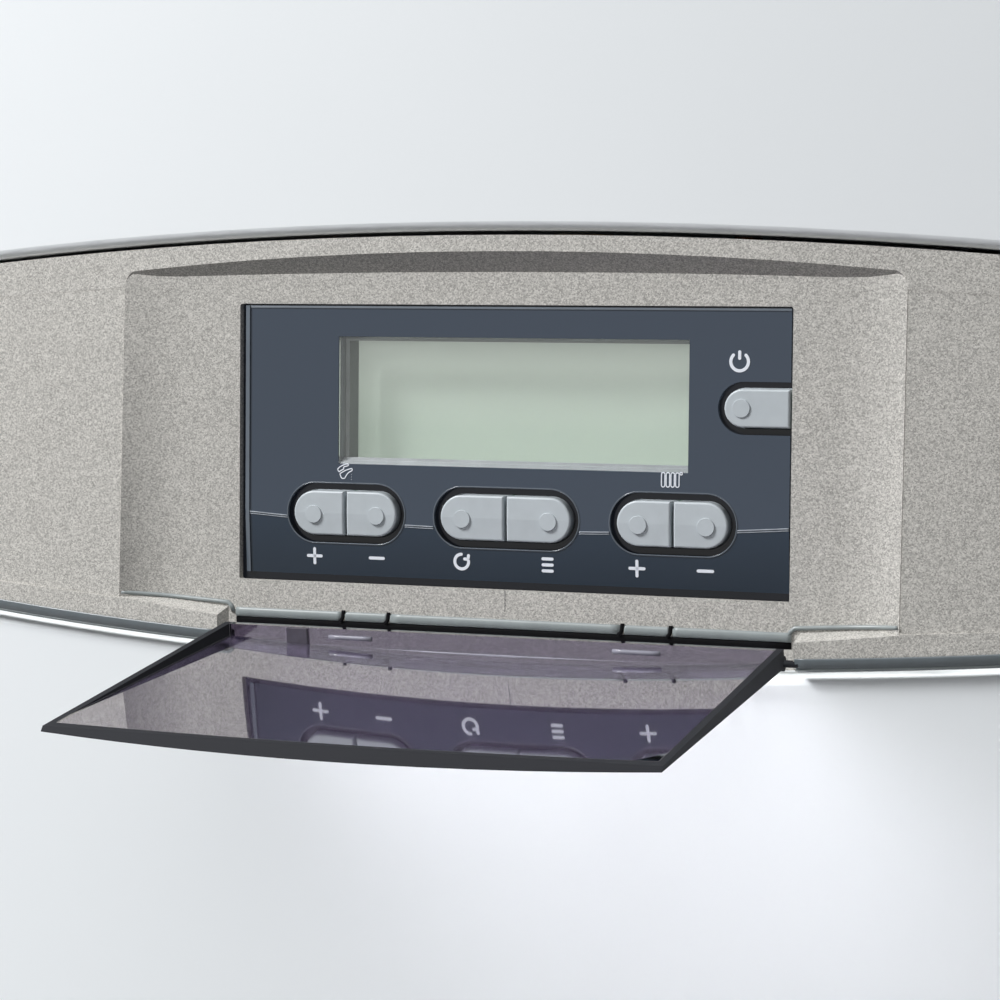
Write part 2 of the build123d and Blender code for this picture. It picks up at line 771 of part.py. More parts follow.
def lower_outline(inset):
    """The lower cover: hollowed under the fascia, square at its foot."""
    side = half - inset
    crown = -band_bottom - cover_gap - inset
    high = crown + drop(side, band_radius)
    low = z_low - z_band + inset
    with BuildSketch() as outline:
        with BuildLine():
            ThreePointArc((-side, high), (0, crown), (side, high))
            Polyline((side, high), (side, low), (-side, low), (-side, high))
        make_face()
    return outline.sketch


for name, outline in (("front_cover", upper_outline), ("lower_cover", lower_outline)):
    with BuildPart() as inside:
        with BuildSketch(band_plane(y_rim + 1)):
            add(outline(cover_thick))
        extrude(amount=cover_return + front_stock)
        cover_bow(cover_thick)
    with BuildPart() as cover:
        with BuildSketch(band_plane(y_rim)):
            add(outline(0))
        extrude(amount=cover_return + front_stock)
        cover_bow()
        front = cover.faces().sort_by(Axis.Y)[0]
        fillet(front.edges(), cover_edge)
        add(inside.part, mode=Mode.SUBTRACT)
    finish(cover.part, name)

inner_half = half - sheet - seam
top_flange = chamber_top_gap - top_flange_gap
for name, side in (("side_panel_left", -1), ("side_panel_right", 1)):
    with BuildPart() as side_panel:
        block((side * (half - sheet), side * half), (y_side_front, 0), (z_low, z_high))
        block((side * (half - flange_height), side * half), (y_side_front, y_side_front + sheet),
              (z_low + flange_height, z_high - flange_height))
        block((side * (frame_side + seam), side * half), (-sheet, 0),
              (z_low + flange_height, z_high - flange_height))
    finish(side_panel.part, name)

with BuildPart() as top_panel:
    block((-inner_half, inner_half), (y_side_front, 0), (z_high - sheet, z_high))
    for y in (y_side_front, -sheet):
        block((-frame_side + flange_height, frame_side - flange_height), (y, y + sheet),
              (z_high - top_flange, z_high))
    with Locations((0, flue_y, z_high - sheet / 2)):
        Hole(air_radius + flue_wall + 1, depth=2 * sheet)
finish(top_panel.part, "top_panel")

with BuildPart() as bottom_panel:
    block((-inner_half, inner_half), (y_side_front, 0), (z_low, z_low + sheet))
    for y in (y_side_front, -sheet):
        block((-frame_side + flange_height, frame_side - flange_height), (y, y + sheet),
              (z_low, z_low + flange_height))
    with Locations(*[(x, pipe_y, z_low) for x in pipe_x.values()]):
        Cylinder(tail_radius + 2, 4 * sheet, mode=Mode.SUBTRACT)
    with Locations((relief_x, pipe_y - arm_front - relief_length / 2, z_low)):
        Cylinder(drain_radius + 1.5, 4 * sheet, mode=Mode.SUBTRACT)
    with Locations((gland_x, gland_y, z_low)):
        Cylinder(gland_radius + hole_clear, 4 * sheet, mode=Mode.SUBTRACT)
    with Locations((0, y_side_front + vent_set_back, z_low)):
        with GridLocations(vent_pitch, 0, vent_count, 1):
            Box(vent_width, vent_length, 4 * sheet, mode=Mode.SUBTRACT)
finish(bottom_panel.part, "bottom_panel")

with BuildPart() as cable_gland:
    z_gland = (z_low - gland_cap_height, z_low + sheet + gland_nut_height)
    rod(gland_radius + gland_collar, (gland_x, gland_y, z_low + sheet), (gland_x, gland_y, z_gland[1]))
    rod(gland_radius, (gland_x, gland_y, z_low), (gland_x, gland_y, z_low + sheet))
    rod(gland_radius + gland_cap, (gland_x, gland_y, z_gland[0]), (gland_x, gland_y, z_low))
    chamfer(cable_gland.faces().sort_by(Axis.Z)[0].edges(), gland_cap)
    rod(gland_bore, (gland_x, gland_y, z_gland[0]), (gland_x, gland_y, z_gland[1]), mode=Mode.SUBTRACT)
finish(cable_gland.part, "cable_gland")

with BuildPart() as casing_screws:
    with Locations((0, y_side_front + cover_screw_set_back, z_low - screw_head_height)):
        with GridLocations(2 * cover_screw_x, 0, 2, 1):
            Cylinder(screw_head, screw_head_height, align=centred_low)
    with Locations((0, flue_y, z_high + collar_flange_thick)):
        with GridLocations(2 * collar_screw_x, 2 * collar_screw_y, 2, 2):
            Cylinder(screw_head, screw_head_height, align=centred_low)
finish(casing_screws.part, "casing_screws")

# ================================================================ frame
y_plate = -frame_gap
y_plate_front = y_plate - sheet
z_frame_low = z_low + sheet + seam
z_frame_high = z_high - sheet - seam
tab_half = bracket_half - 20
y_hook = -bracket_reach
hook_top = bracket_height / 2 + hook_height
with BuildPart() as back_frame:
    block((-frame_side, frame_side), (y_plate_front, y_plate), (z_frame_low, z_frame_high))
    for side in (-1, 1):
        block((side * (frame_side - sheet), side * frame_side), (-frame_wall_depth, 0),
              (z_frame_low, z_frame_high))
        block((side * (frame_side - shelf_width), side * frame_side), (-shelf_depth, y_plate_front),
              (z_chamber - sheet, z_chamber))
        block((side * (frame_side - sheet), side * frame_side), (-shelf_depth, y_plate_front),
              (z_chamber - 3 * flange_height, z_chamber))
    block((-tab_half, tab_half), (y_hook + bracket_thick + seam, y_plate),
          (hook_top + seam, hook_top + seam + sheet))
    block((-tab_half, tab_half), (y_hook + bracket_thick + seam, y_hook + bracket_thick + seam + sheet),
          (hook_top - hook_height + 2, hook_top + seam + sheet))
finish(back_frame.part, "back_frame")

with BuildPart() as hanging_bracket:
    block((-bracket_half, bracket_half), (-bracket_thick, 0), (-bracket_height / 2, bracket_height / 2))
    block((-bracket_half, bracket_half), (y_hook, 0),
          (bracket_height / 2 - bracket_thick, bracket_height / 2))
    block((-bracket_half, bracket_half), (y_hook, y_hook + bracket_thick),
          (bracket_height / 2 - bracket_thick, hook_top))
    with Locations(Plane(origin=(0, 0, 0), x_dir=(1, 0, 0), z_dir=(0, -1, 0))):
        with GridLocations(bracket_hole_pitch, 0, 2, 1):
            Cylinder(bracket_hole_radius, 4 * bracket_thick, mode=Mode.SUBTRACT)
finish(hanging_bracket.part, "hanging_bracket")

# ================================================================ sealed chamber
with BuildPart() as sealed_chamber:
    block((-chamber_half, chamber_half), (y_chamber_front, -chamber_back), (z_chamber, z_chamber_top))
    block((-chamber_half + chamber_sheet, chamber_half - chamber_sheet),
          (y_chamber_front + chamber_sheet, -chamber_back - chamber_sheet),
          (z_chamber + chamber_sheet, z_chamber_top - chamber_sheet), mode=Mode.SUBTRACT)
    block((-chamber_half + chamber_rim, chamber_half - chamber_rim),
          (y_chamber_front - 1, y_chamber_front + 5),
          (z_chamber + chamber_rim, z_chamber_top - chamber_rim), mode=Mode.SUBTRACT)
    with Locations((0, flue_y, z_chamber_top)):
        Cylinder(air_radius, 4 * chamber_sheet, mode=Mode.SUBTRACT)
    manifold_y = -cell_front - manifold_size - cell_clear
    with Locations((pipe_x["flow"], pipe_y, z_chamber), (pipe_x["return"], pipe_y, z_chamber),
                   (0, manifold_y, z_chamber)):
        Cylinder(pipe_radius + 0.5, 4 * chamber_sheet, mode=Mode.SUBTRACT)
finish(sealed_chamber.part, "sealed_chamber")

with BuildPart() as chamber_door:
    block((-chamber_half, chamber_half), (y_chamber_front - door_thick, y_chamber_front),
          (z_chamber, z_chamber_top))
    for skin, ahead, behind, mode in ((0.0, door_thick + door_panel_rise, 0.0, Mode.ADD),
                                      (door_thick, door_panel_rise, 1.0, Mode.SUBTRACT)):
        border = 3 * chamber_rim + skin
        block((-chamber_half + border, chamber_half - border),
              (y_chamber_front - ahead, y_chamber_front + behind),
              (z_chamber + border, z_chamber_top - border), mode=mode)
finish(chamber_door.part, "chamber_door")

# ---------------------------------------------------------------- burner
z_floor_in = z_chamber + chamber_sheet
z_blades = z_floor_in + burner_height
z_firebox = z_blades + blade_height + flame_gap
z_scroll = z_chamber_top - fan_top_gap - fan_radius
z_hood_top = z_scroll - fan_radius
z_hood = z_hood_top - hood_height
z_fins = z_hood - exchanger_height
y_cell = (-cell_front + cell_clear, -cell_back - cell_clear)
with BuildPart() as burner:
    block((-burner_half, burner_half), y_cell, (z_floor_in, z_blades))
    block((-burner_half + 3, burner_half - 3), (y_cell[0] + 3, y_cell[1] - 3), (z_floor_in + 6, z_blades + 1),
          mode=Mode.SUBTRACT)
    for side in (-1, 1):
        block((side * burner_half, side * (burner_half - burner_ear)),
              (manifold_y + manifold_size / 2, y_cell[0]), (z_floor_in, z_blades))
    blade_pitch = 2 * (burner_half - blade_width) / (blade_count - 1)
    with Locations((0, sum(y_cell) / 2, z_blades - 4)):
        with GridLocations(blade_pitch, 0, blade_count, 1):
            Box(blade_width, y_cell[1] - y_cell[0], blade_height + 4, align=centred_low)
    with Locations((0, sum(y_cell) / 2, z_blades + blade_height - 6)):
        with GridLocations(blade_pitch, 0, blade_count, 1):
            Box(blade_slot, y_cell[1] - y_cell[0] - 8, 8, align=centred_low, mode=Mode.SUBTRACT)
finish(burner.part, "burner")

with BuildPart() as gas_manifold:
    half_bar = manifold_size / 2
    block((-burner_half, burner_half), (manifold_y - half_bar, manifold_y + half_bar),
          (z_blades - manifold_size, z_blades))
    with Locations(Plane(origin=(0, manifold_y + half_bar, z_blades - half_bar), x_dir=(1, 0, 0),
                         z_dir=(0, 1, 0))):
        with GridLocations(blade_pitch, 0, blade_count - 2, 1):
            Cone(injector_radius, injector_radius * 0.6, 6, align=centred_low)
    rod(pipe_radius, (0, manifold_y, z_blades - half_bar), (0, manifold_y, z_floor_in + 1.0))
    rod(pipe_radius - pipe_wall, (0, manifold_y, z_blades - half_bar), (0, manifold_y, z_floor_in - 9),
        mode=Mode.SUBTRACT)
finish(gas_manifold.part, "gas_manifold")

with BuildPart() as electrodes:
    y_firebox = -cell_front
    z_rod = z_firebox - electrode_drop
    block((-electrode_pitch - 10, electrode_pitch + 10), (y_firebox - electrode_plate, y_firebox),
          (z_firebox - 9, z_firebox + 18))
    for x in (-electrode_pitch, 0, electrode_pitch):
        rod(electrode_sleeve, (x, y_firebox - 14, z_rod), (x, y_firebox + 8, z_rod))
        rod(electrode_wire, (x, y_firebox + 8, z_rod), (x, y_firebox + electrode_reach, z_rod))
finish(electrodes.part, "electrodes")

with BuildPart() as firebox:
    block((-firebox_half, firebox_half), (-cell_front, -cell_back), (z_firebox, z_fins))
    block((-firebox_half + firebox_sheet, firebox_half - firebox_sheet),
          (-cell_front + firebox_sheet, -cell_back - firebox_sheet), (z_firebox - 1, z_fins + 1),
          mode=Mode.SUBTRACT)
    for side in (-1, 1):
        block((side * (firebox_half - firebox_sheet), side * firebox_half), (-cell_front, -cell_back),
              (z_floor_in, z_firebox + 1))
finish(firebox.part, "firebox")

with BuildPart() as insulation_boards:
    x_in = firebox_half - firebox_sheet
    for y in (-cell_front + firebox_sheet, -cell_back - firebox_sheet - board_insulation):
        block((-x_in, x_in), (y, y + board_insulation), (z_firebox, z_fins))
    for side in (-1, 1):
        block((side * (x_in - board_insulation), side * x_in),
              (-cell_front + firebox_sheet + board_insulation, -cell_back - firebox_sheet - board_insulation),
              (z_firebox, z_fins))
finish(insulation_boards.part, "insulation_boards")

with BuildPart() as heat_exchanger:
    z_cell = z_fins + exchanger_height / 2
    fins_half = firebox_half - header_thick
    fin_pitch = 2 * fins_half / fin_count
    with Locations((0, -(cell_front + cell_back) / 2, z_fins)):
        with GridLocations(fin_pitch, 0, fin_count, 1):
            Box(fin_thick, cell_front - cell_back, exchanger_height, align=centred_low)
    tube_pitch = (cell_front - cell_back) / exchanger_tubes
    for tube in range(exchanger_tubes):
        y = -cell_back - tube_pitch * (tube + 0.5)
        rod(exchanger_tube_radius, (-fins_half, y, z_cell), (fins_half, y, z_cell))
    for side in (-1, 1):
        block((side * fins_half, side * firebox_half), (-cell_front, -cell_back),
              (z_fins, z_fins + exchanger_height))
finish(heat_exchanger.part, "heat_exchanger")

# ---------------------------------------------------------------- flue
x_scroll = -fan_offset
y_scroll_back = flue_y + fan_depth / 2
y_scroll_front = flue_y - fan_depth / 2
with BuildPart() as flue_hood:
    for inset, mode in ((0.0, Mode.ADD), (1.0, Mode.SUBTRACT)):
        with BuildSketch(Plane.XY.offset(z_hood)):
            with Locations((0, -(cell_front + cell_back) / 2)):
                Rectangle(2 * (firebox_half - inset), cell_front - cell_back - 2 * inset)
        with BuildSketch(Plane.XY.offset(z_hood_top)):
            with Locations((x_scroll, y_scroll_back + inlet_depth / 2)):
                Rectangle(2 * (inlet_half - inset), inlet_depth - 2 * inset)
        loft(ruled=True, mode=mode)
finish(flue_hood.part, "flue_hood")

z_joint = z_chamber_top + 2
with BuildPart() as fan_housing:
    duct_half = fan_depth / 2
    rod(fan_radius, (x_scroll, y_scroll_front, z_scroll), (x_scroll, y_scroll_back, z_scroll))
    block((-duct_half, duct_half), (y_scroll_front, y_scroll_back),
          (z_scroll - duct_foot, z_scroll + fan_radius))
    rod(flue_radius + flue_wall, (0, flue_y, z_scroll + fan_radius), (0, flue_y, z_joint))
    block((x_scroll - inlet_half, x_scroll + inlet_half), (y_scroll_back, y_scroll_back + inlet_depth),
          (z_hood_top, z_scroll + inlet_half))
    rod(motor_radius, (x_scroll, y_scroll_front, z_scroll),
        (x_scroll, y_scroll_front - motor_length, z_scroll))
    rod(fan_radius - fan_wall, (x_scroll, y_scroll_front + fan_wall, z_scroll),
        (x_scroll, y_scroll_back - fan_wall, z_scroll), mode=Mode.SUBTRACT)
    block((-duct_half + fan_wall, duct_half - fan_wall),
          (y_scroll_front + fan_wall, y_scroll_back - fan_wall), (z_scroll, z_scroll + fan_radius + 1),
          mode=Mode.SUBTRACT)
    rod(flue_radius - 1, (0, flue_y, z_scroll + fan_radius + fan_wall), (0, flue_y, z_joint),
        mode=Mode.SUBTRACT)
    rod(duct_half - 2 * fan_wall, (0, flue_y, z_scroll), (0, flue_y, z_joint), mode=Mode.SUBTRACT)
    block((x_scroll - inlet_half + fan_wall, x_scroll + inlet_half - fan_wall),
          (y_scroll_back + fan_wall / 2, y_scroll_back + inlet_depth - fan_wall),
          (z_hood_top, z_scroll + inlet_half - fan_wall), mode=Mode.SUBTRACT)
    rod(inlet_half - 8, (x_scroll, y_scroll_back - 5, z_scroll), (x_scroll, y_scroll_back + 5, z_scroll),
        mode=Mode.SUBTRACT)
    rod(shaft_radius + shaft_clear, (x_scroll, y_scroll_front + 5, z_scroll),
        (x_scroll, y_scroll_front - motor_length + 4, z_scroll), mode=Mode.SUBTRACT)
finish(fan_housing.part, "fan_housing")

with BuildPart() as fan_impeller:
    y_disc = y_scroll_front + fan_wall + 3
    y_ring = y_scroll_back - fan_wall - 5
    rod(impeller_radius, (x_scroll, y_disc, z_scroll), (x_scroll, y_disc + 2, z_scroll))
    rod(impeller_hub, (x_scroll, y_disc, z_scroll), (x_scroll, y_disc + 14, z_scroll))
    rod(shaft_radius, (x_scroll, y_disc, z_scroll), (x_scroll, y_scroll_front - motor_length + 8, z_scroll))
    hub = Plane(origin=(x_scroll, y_disc, z_scroll), x_dir=(1, 0, 0), z_dir=(0, 1, 0))
    with Locations(hub):
        with PolarLocations(impeller_radius - impeller_chord / 2 - 0.5, impeller_blades):
            Box(impeller_chord, impeller_blade, y_ring - y_disc, align=centred_low)
    with Locations(hub.offset(y_ring - y_disc)):
        Cylinder(impeller_radius, 2, align=centred_low)
        Cylinder(impeller_radius - 10, 2, align=centred_low, mode=Mode.SUBTRACT)
finish(fan_impeller.part, "fan_impeller")

z_collar = z_high + collar_height
with BuildPart() as flue_collar:
    with BuildSketch(Plane.XY.offset(z_joint)):
        with Locations((0, flue_y)):
            Circle(flue_radius + flue_wall)
            Circle(flue_radius, mode=Mode.SUBTRACT)
    extrude(amount=z_collar - z_joint)
    with BuildSketch(Plane.XY.offset(z_chamber_top)):
        with Locations((0, flue_y)):
            Circle(air_radius + flue_wall)
            Circle(air_radius, mode=Mode.SUBTRACT)
    extrude(amount=z_collar - z_chamber_top)
    with BuildSketch(Plane.XY.offset(z_high)):
        with Locations((0, flue_y)):
            Circle(collar_flange_radius)
            Circle(air_radius + flue_wall / 2, mode=Mode.SUBTRACT)
    extrude(amount=collar_flange_thick)
    with Locations((0, flue_y, z_joint)):
        with PolarLocations((flue_radius + air_radius + flue_wall) / 2, 3, start_angle=90):
            Box(air_radius - flue_radius - flue_wall + 1, 2, collar_spider, align=centred_low)
finish(flue_collar.part, "flue_collar")

# ================================================================ water side
z_block = z_low + block_base
z_block_top = z_block + block_height
z_arm = z_low + arm_base
z_arm_top = z_arm + arm_height
y_arm_front = pipe_y - arm_front
y_block_front = pipe_y - block_half
z_plates = (z_arm + z_arm_top) / 2
port_x = plates_half - port_inset
port_z = arm_height / 2 - port_radius - 2


def hydraulic_block(side, stubs):
    """A cast block with an arm towards the plate exchanger and tails through the underside."""
    x_block = side * 2 * pipe_pitch
    x_arm = side * arm_inner
    block((x_block - block_half, x_block + block_half), (y_block_front, pipe_y + block_half),
          (z_block, z_block_top))
    block((x_arm, x_block), (y_arm_front, -arm_back), (z_arm, z_arm_top))
    for x, z in stubs:
        rod(tail_radius, (x, pipe_y, z + 1), (x, pipe_y, z_tail))
        block((x - seat_size / 2, x + seat_size / 2), (pipe_y - seat_size / 2, pipe_y + seat_size / 2),
              (z_seat, z_seat + seat_thick))
        rod(tail_bore, (x, pipe_y, z - 4), (x, pipe_y, z_tail), mode=Mode.SUBTRACT)


spool_bore = spool_start + spool_length + spool_tip + spool_travel + spool_end
with BuildPart() as supply_block:
    hydraulic_block(-1, [(pipe_x["flow"], z_block), (pipe_x["hot"], z_arm)])
    rod(pipe_radius + 3, (pipe_x["flow"], pipe_y, z_block_top), (pipe_x["flow"], pipe_y, z_block_top + 6))
    z_spool = z_block_top - block_half
    rod(spool_radius + spool_clear, (pipe_x["flow"], y_block_front, z_spool),
        (pipe_x["flow"], y_block_front + spool_bore, z_spool), mode=Mode.SUBTRACT)
finish(supply_block.part, "supply_block")

z_neck = z_block_top + neck_height / 2
z_pump = z_neck + pump_radius
y_volute = (pipe_y - pump_thick / 2, pipe_y + pump_thick / 2)
x_pump = pipe_x["return"]
x_vent = x_pump - air_vent_offset
with BuildPart() as return_block:
    hydraulic_block(1, [(pipe_x["return"], z_block)])
    rod(relief_radius, (relief_x, y_arm_front, z_plates), (relief_x, y_arm_front - 1, z_plates))
finish(return_block.part, "return_block")

with BuildPart() as diverter_motor:
    x = pipe_x["flow"]
    block((x - motor_half, x + motor_half), (y_block_front - motor_depth, y_block_front),
          (z_spool - block_half, z_spool + block_half))
    fillet(diverter_motor.faces().sort_by(Axis.Y)[0].edges(), 5)
    rod(spool_radius - 4, (x, y_block_front - 30, z_spool), (x, y_block_front, z_spool), mode=Mode.SUBTRACT)
finish(diverter_motor.part, "diverter_motor")

with BuildPart() as diverter_spool:
    x = pipe_x["flow"]
    y_spool = y_block_front + spool_start
    y_tip = y_spool + spool_length
    rod(spool_radius, (x, y_spool, z_spool), (x, y_tip, z_spool))
    rod(spool_radius - 2, (x, y_tip, z_spool), (x, y_tip + spool_tip, z_spool))
    rod(spool_radius - 4.5, (x, y_block_front - 20, z_spool), (x, y_spool, z_spool))
finish(diverter_spool.part, "diverter_spool")

with BuildPart() as pump_housing:
    rod(pump_radius, (x_pump, y_volute[0], z_pump), (x_pump, y_volute[1], z_pump))
    rod(neck_radius, (x_pump, pipe_y, z_block_top), (x_pump, pipe_y, z_pump + pump_radius + neck_height / 2))
    rod(air_vent_neck, (x_vent, pipe_y, z_pump), (x_vent, pipe_y, z_pump + pump_radius - 2))
    y_can = y_box_front + box_depth + pump_box_gap
    rod(pump_motor_radius, (x_pump, y_can, z_pump), (x_pump, y_volute[0], z_pump))
    fillet(pump_housing.faces().sort_by(Axis.Y)[0].edges(), 4)
    block((x_pump - pump_box_half, x_pump + pump_box_half), (y_can + 8, y_volute[0] - 12),
          (z_pump + pump_motor_radius - 6, z_pump + pump_motor_radius + 14))
    impeller_space = pump_radius - 2 * pump_wall
    rod(impeller_space, (x_pump, y_volute[0] + pump_wall, z_pump), (x_pump, y_volute[1] - pump_wall, z_pump),
        mode=Mode.SUBTRACT)
    rod(pump_motor_radius - 3 * pump_wall, (x_pump, y_can + pump_wall, z_pump),
        (x_pump, y_volute[0] + pump_wall, z_pump), mode=Mode.SUBTRACT)
finish(pump_housing.part, "pump_housing")

with BuildPart() as pump_rotor:
    rod(impeller_space - rotor_clear, (x_pump, y_volute[0] + pump_wall + rotor_clear + 4, z_pump),
        (x_pump, y_volute[1] - pump_wall - rotor_clear, z_pump))
    rod(5, (x_pump, y_can + pump_wall + rotor_clear, z_pump), (x_pump, pipe_y, z_pump))
    rod(pump_motor_radius - 3 * pump_wall - rotor_clear, (x_pump, y_can + pump_wall + 8, z_pump),
        (x_pump, y_volute[0] - 4, z_pump))
    with Locations(Plane(origin=(x_pump, y_volute[1] - pump_wall - rotor_clear, z_pump), x_dir=(1, 0, 0),
                         z_dir=(0, -1, 0))):
        with PolarLocations(impeller_space * 0.72, 7):
            Box(12, 2.2, 6, align=centred_low, mode=Mode.SUBTRACT)
finish(pump_rotor.part, "pump_rotor")

with BuildPart() as air_vent:
    z_vent = z_pump + pump_radius - 2
    with Locations((x_vent, pipe_y, z_vent)):
        Cylinder(air_vent_radius, air_vent_height, align=centred_low)
    fillet(air_vent.edges().filter_by(GeomType.CIRCLE).sort_by(Axis.Z)[-1], 4)
    with Locations((x_vent, pipe_y, z_vent + air_vent_height - 1)):
        Cylinder(air_vent_cap, 7, align=centred_low)
finish(air_vent.part, "air_vent")

with BuildPart() as plate_exchanger:
    y_plates = (-arm_back + port_length, -arm_back + port_length + plates_thick)
    plate_pitch = plates_thick / plates_count
    for index in range(plates_count):
        y = y_plates[0] + index * plate_pitch
        inset = 0.0 if index % 2 == 0 else plates_step
        with BuildSketch(Plane(origin=(0, y, z_plates), x_dir=(1, 0, 0), z_dir=(0, 1, 0))):
            RectangleRounded(2 * plates_half - inset, plates_height - inset, plates_corner)
        extrude(amount=plate_pitch)
    for x in (-port_x, port_x):
        for z in (-port_z, port_z):
            rod(port_radius, (x, y_plates[0] + 1, z_plates + z), (x, -arm_back, z_plates + z))
            rod(port_radius - 3, (x, y_plates[0], z_plates + z), (x, -arm_back, z_plates + z),
                mode=Mode.SUBTRACT)
finish(plate_exchanger.part, "plate_exchanger")

# ---------------------------------------------------------------- relief valve
y_relief = y_arm_front - 1
y_relief_end = y_relief - relief_length
with BuildPart() as relief_valve:
    rod(relief_radius, (relief_x, y_relief, z_plates), (relief_x, y_relief_end, z_plates))
    rod(spindle_radius, (relief_x, y_relief_end, z_plates),
        (relief_x, y_relief_end - spindle_length, z_plates))
    y_drain = pipe_y - arm_front - relief_length / 2
    rod(drain_radius, (relief_x, y_drain, z_plates), (relief_x, y_drain, z_low - 2 * tail_reach))
    rod(drain_radius - 1.5, (relief_x, y_drain, z_plates - relief_radius - 4),
        (relief_x, y_drain, z_low - 2 * tail_reach), mode=Mode.SUBTRACT)
finish(relief_valve.part, "relief_valve")

with BuildPart() as relief_knob:
    y_knob = y_relief_end - 0.4
    with BuildSketch(Plane(origin=(relief_x, y_knob, z_plates), x_dir=(1, 0, 0), z_dir=(0, -1, 0))):
        Circle(knob_radius)
        with PolarLocations(knob_radius + 1.2, knob_grips):
            Circle(knob_grip_radius, mode=Mode.SUBTRACT)
    extrude(amount=knob_length)
    rod(spindle_radius + 0.2, (relief_x, y_knob, z_plates),
        (relief_x, y_knob - spindle_length, z_plates), mode=Mode.SUBTRACT)
finish(relief_knob.part, "relief_knob")

# ---------------------------------------------------------------- cold water inlet
x_cold = pipe_x["cold"]
with BuildPart() as flow_sensor:
    rod(sensor_radius, (x_cold, pipe_y, z_seat), (x_cold, pipe_y, z_arm))
    rod(tail_radius, (x_cold, pipe_y, z_tail), (x_cold, pipe_y, z_seat))
    block((x_cold - 8, x_cold + 8), (pipe_y - sensor_radius - 7, pipe_y), (z_seat + 12, z_seat + 36))
    rod(tail_bore, (x_cold, pipe_y, z_tail), (x_cold, pipe_y, z_arm), mode=Mode.SUBTRACT)
    rod(turbine_radius + turbine_clear, (x_cold, pipe_y, z_seat + 16), (x_cold, pipe_y, z_seat + 30),
        mode=Mode.SUBTRACT)
finish(flow_sensor.part, "flow_sensor")

with BuildPart() as flow_turbine:
    z_turbine = z_seat + 17
    rod(3, (x_cold, pipe_y, z_turbine), (x_cold, pipe_y, z_turbine + 12))
    with Locations((x_cold, pipe_y, z_turbine + 1)):
        with PolarLocations(turbine_radius / 2, 6):
            Box(turbine_radius - 0.4, 1.4, 10, align=centred_low)
finish(flow_turbine.part, "flow_turbine")

# ---------------------------------------------------------------- pipes to the heat cell
for name, side in (("flow_pipe", -1), ("return_pipe", 1)):
    x = side * 2 * pipe_pitch
    z_start = z_block_top + 6 if side < 0 else z_pump + pump_radius + neck_height / 2
    piece = pipe([(x, pipe_y, z_start), (x, pipe_y, z_cell), (side * firebox_half, pipe_y, z_cell)],
                 pipe_radius, pipe_wall, bend_radius)
    finish(piece, name)

# ---------------------------------------------------------------- expansion vessel
y_vessel = (y_plate_front - seam, y_plate_front - seam - vessel_thick)
z_vessel = z_low + vessel_height
y_port = sum(y_vessel) / 2
z_port = z_vessel - vessel_radius - port_drop
with BuildPart() as vessel_space:
    rod(vessel_radius - vessel_wall, (0, y_vessel[0] - vessel_wall, z_vessel),
        (0, y_vessel[1] + vessel_wall, z_vessel))
    fillet(vessel_space.edges().filter_by(GeomType.CIRCLE), vessel_rounding - vessel_wall)
with BuildPart() as expansion_vessel:
    rod(vessel_radius, (0, y_vessel[0], z_vessel), (0, y_vessel[1], z_vessel))
    fillet(expansion_vessel.edges().filter_by(GeomType.CIRCLE), vessel_rounding)
    rod(vessel_radius + vessel_seam, (0, y_port - vessel_wall, z_vessel), (0, y_port + vessel_wall, z_vessel))
    rod(vessel_port_radius, (0, y_port, z_vessel - vessel_radius + 5), (0, y_port, z_port))
    add(vessel_space.part, mode=Mode.SUBTRACT)
    rod(vessel_port_radius - vessel_wall, (0, y_port, z_vessel), (0, y_port, z_port), mode=Mode.SUBTRACT)
finish(expansion_vessel.part, "expansion_vessel")

x_hose = pipe_x["return"] + hose_offset
z_hose = z_port - hose_fall
hose = pipe([(0, y_port, z_port), (0, y_port, z_hose), (x_hose, y_port, z_hose),
             (x_hose, y_port, z_arm), (x_hose, pipe_y + block_half, z_arm)],
            hose_radius, hose_wall, hose_bend)
finish(hose, "vessel_pipe")

# ================================================================ gas side
z_gas = z_low + gas_base
y_gas = (pipe_y - gas_depth / 2, pipe_y + gas_depth / 2)
with BuildPart() as gas_valve:
    block((-gas_half, gas_half), y_gas, (z_gas, z_gas + gas_height))
    fillet(gas_valve.edges().filter_by(Axis.Z), 6)
    for x in (-coil_radius - 2, coil_radius + 2):
        z_coil = z_gas + gas_height / 2
        rod(coil_radius, (x, y_gas[0], z_coil), (x, y_gas[0] - coil_length, z_coil))
    rod(7, (0, y_gas[0], z_gas + 12), (0, y_gas[0] - 10, z_gas + 12))
    with Locations((0, pipe_y, z_gas), (0, pipe_y, z_gas + gas_height)):
        Cylinder(pipe_radius - 2, 24, mode=Mode.SUBTRACT)
finish(gas_valve.part, "gas_valve")

with BuildPart() as gas_pipes:
    with BuildSketch(Plane(origin=(0, pipe_y, z_tail))):
        Circle(pipe_radius)
        Circle(pipe_radius - pipe_wall, mode=Mode.SUBTRACT)
    extrude(amount=z_gas - z_tail)
    with BuildSketch(Plane(origin=(0, pipe_y, z_tail))):
        Circle(tail_radius)
        Circle(pipe_radius - pipe_wall, mode=Mode.SUBTRACT)
    extrude(amount=z_seat - z_tail)
    with BuildSketch(Plane(origin=(0, pipe_y, z_seat))):
        Rectangle(seat_size, seat_size)
        Circle(pipe_radius - pipe_wall, mode=Mode.SUBTRACT)
    extrude(amount=seat_thick)
    z_gas_top = z_gas + gas_height
    z_level = (z_gas_top + z_chamber) / 2
    add(pipe([(0, pipe_y, z_gas_top), (0, pipe_y, z_level), (0, manifold_y, z_level),
              (0, manifold_y, z_floor_in + 1.0)], pipe_radius, pipe_wall, gas_bend))
finish(gas_pipes.part, "gas_pipes")

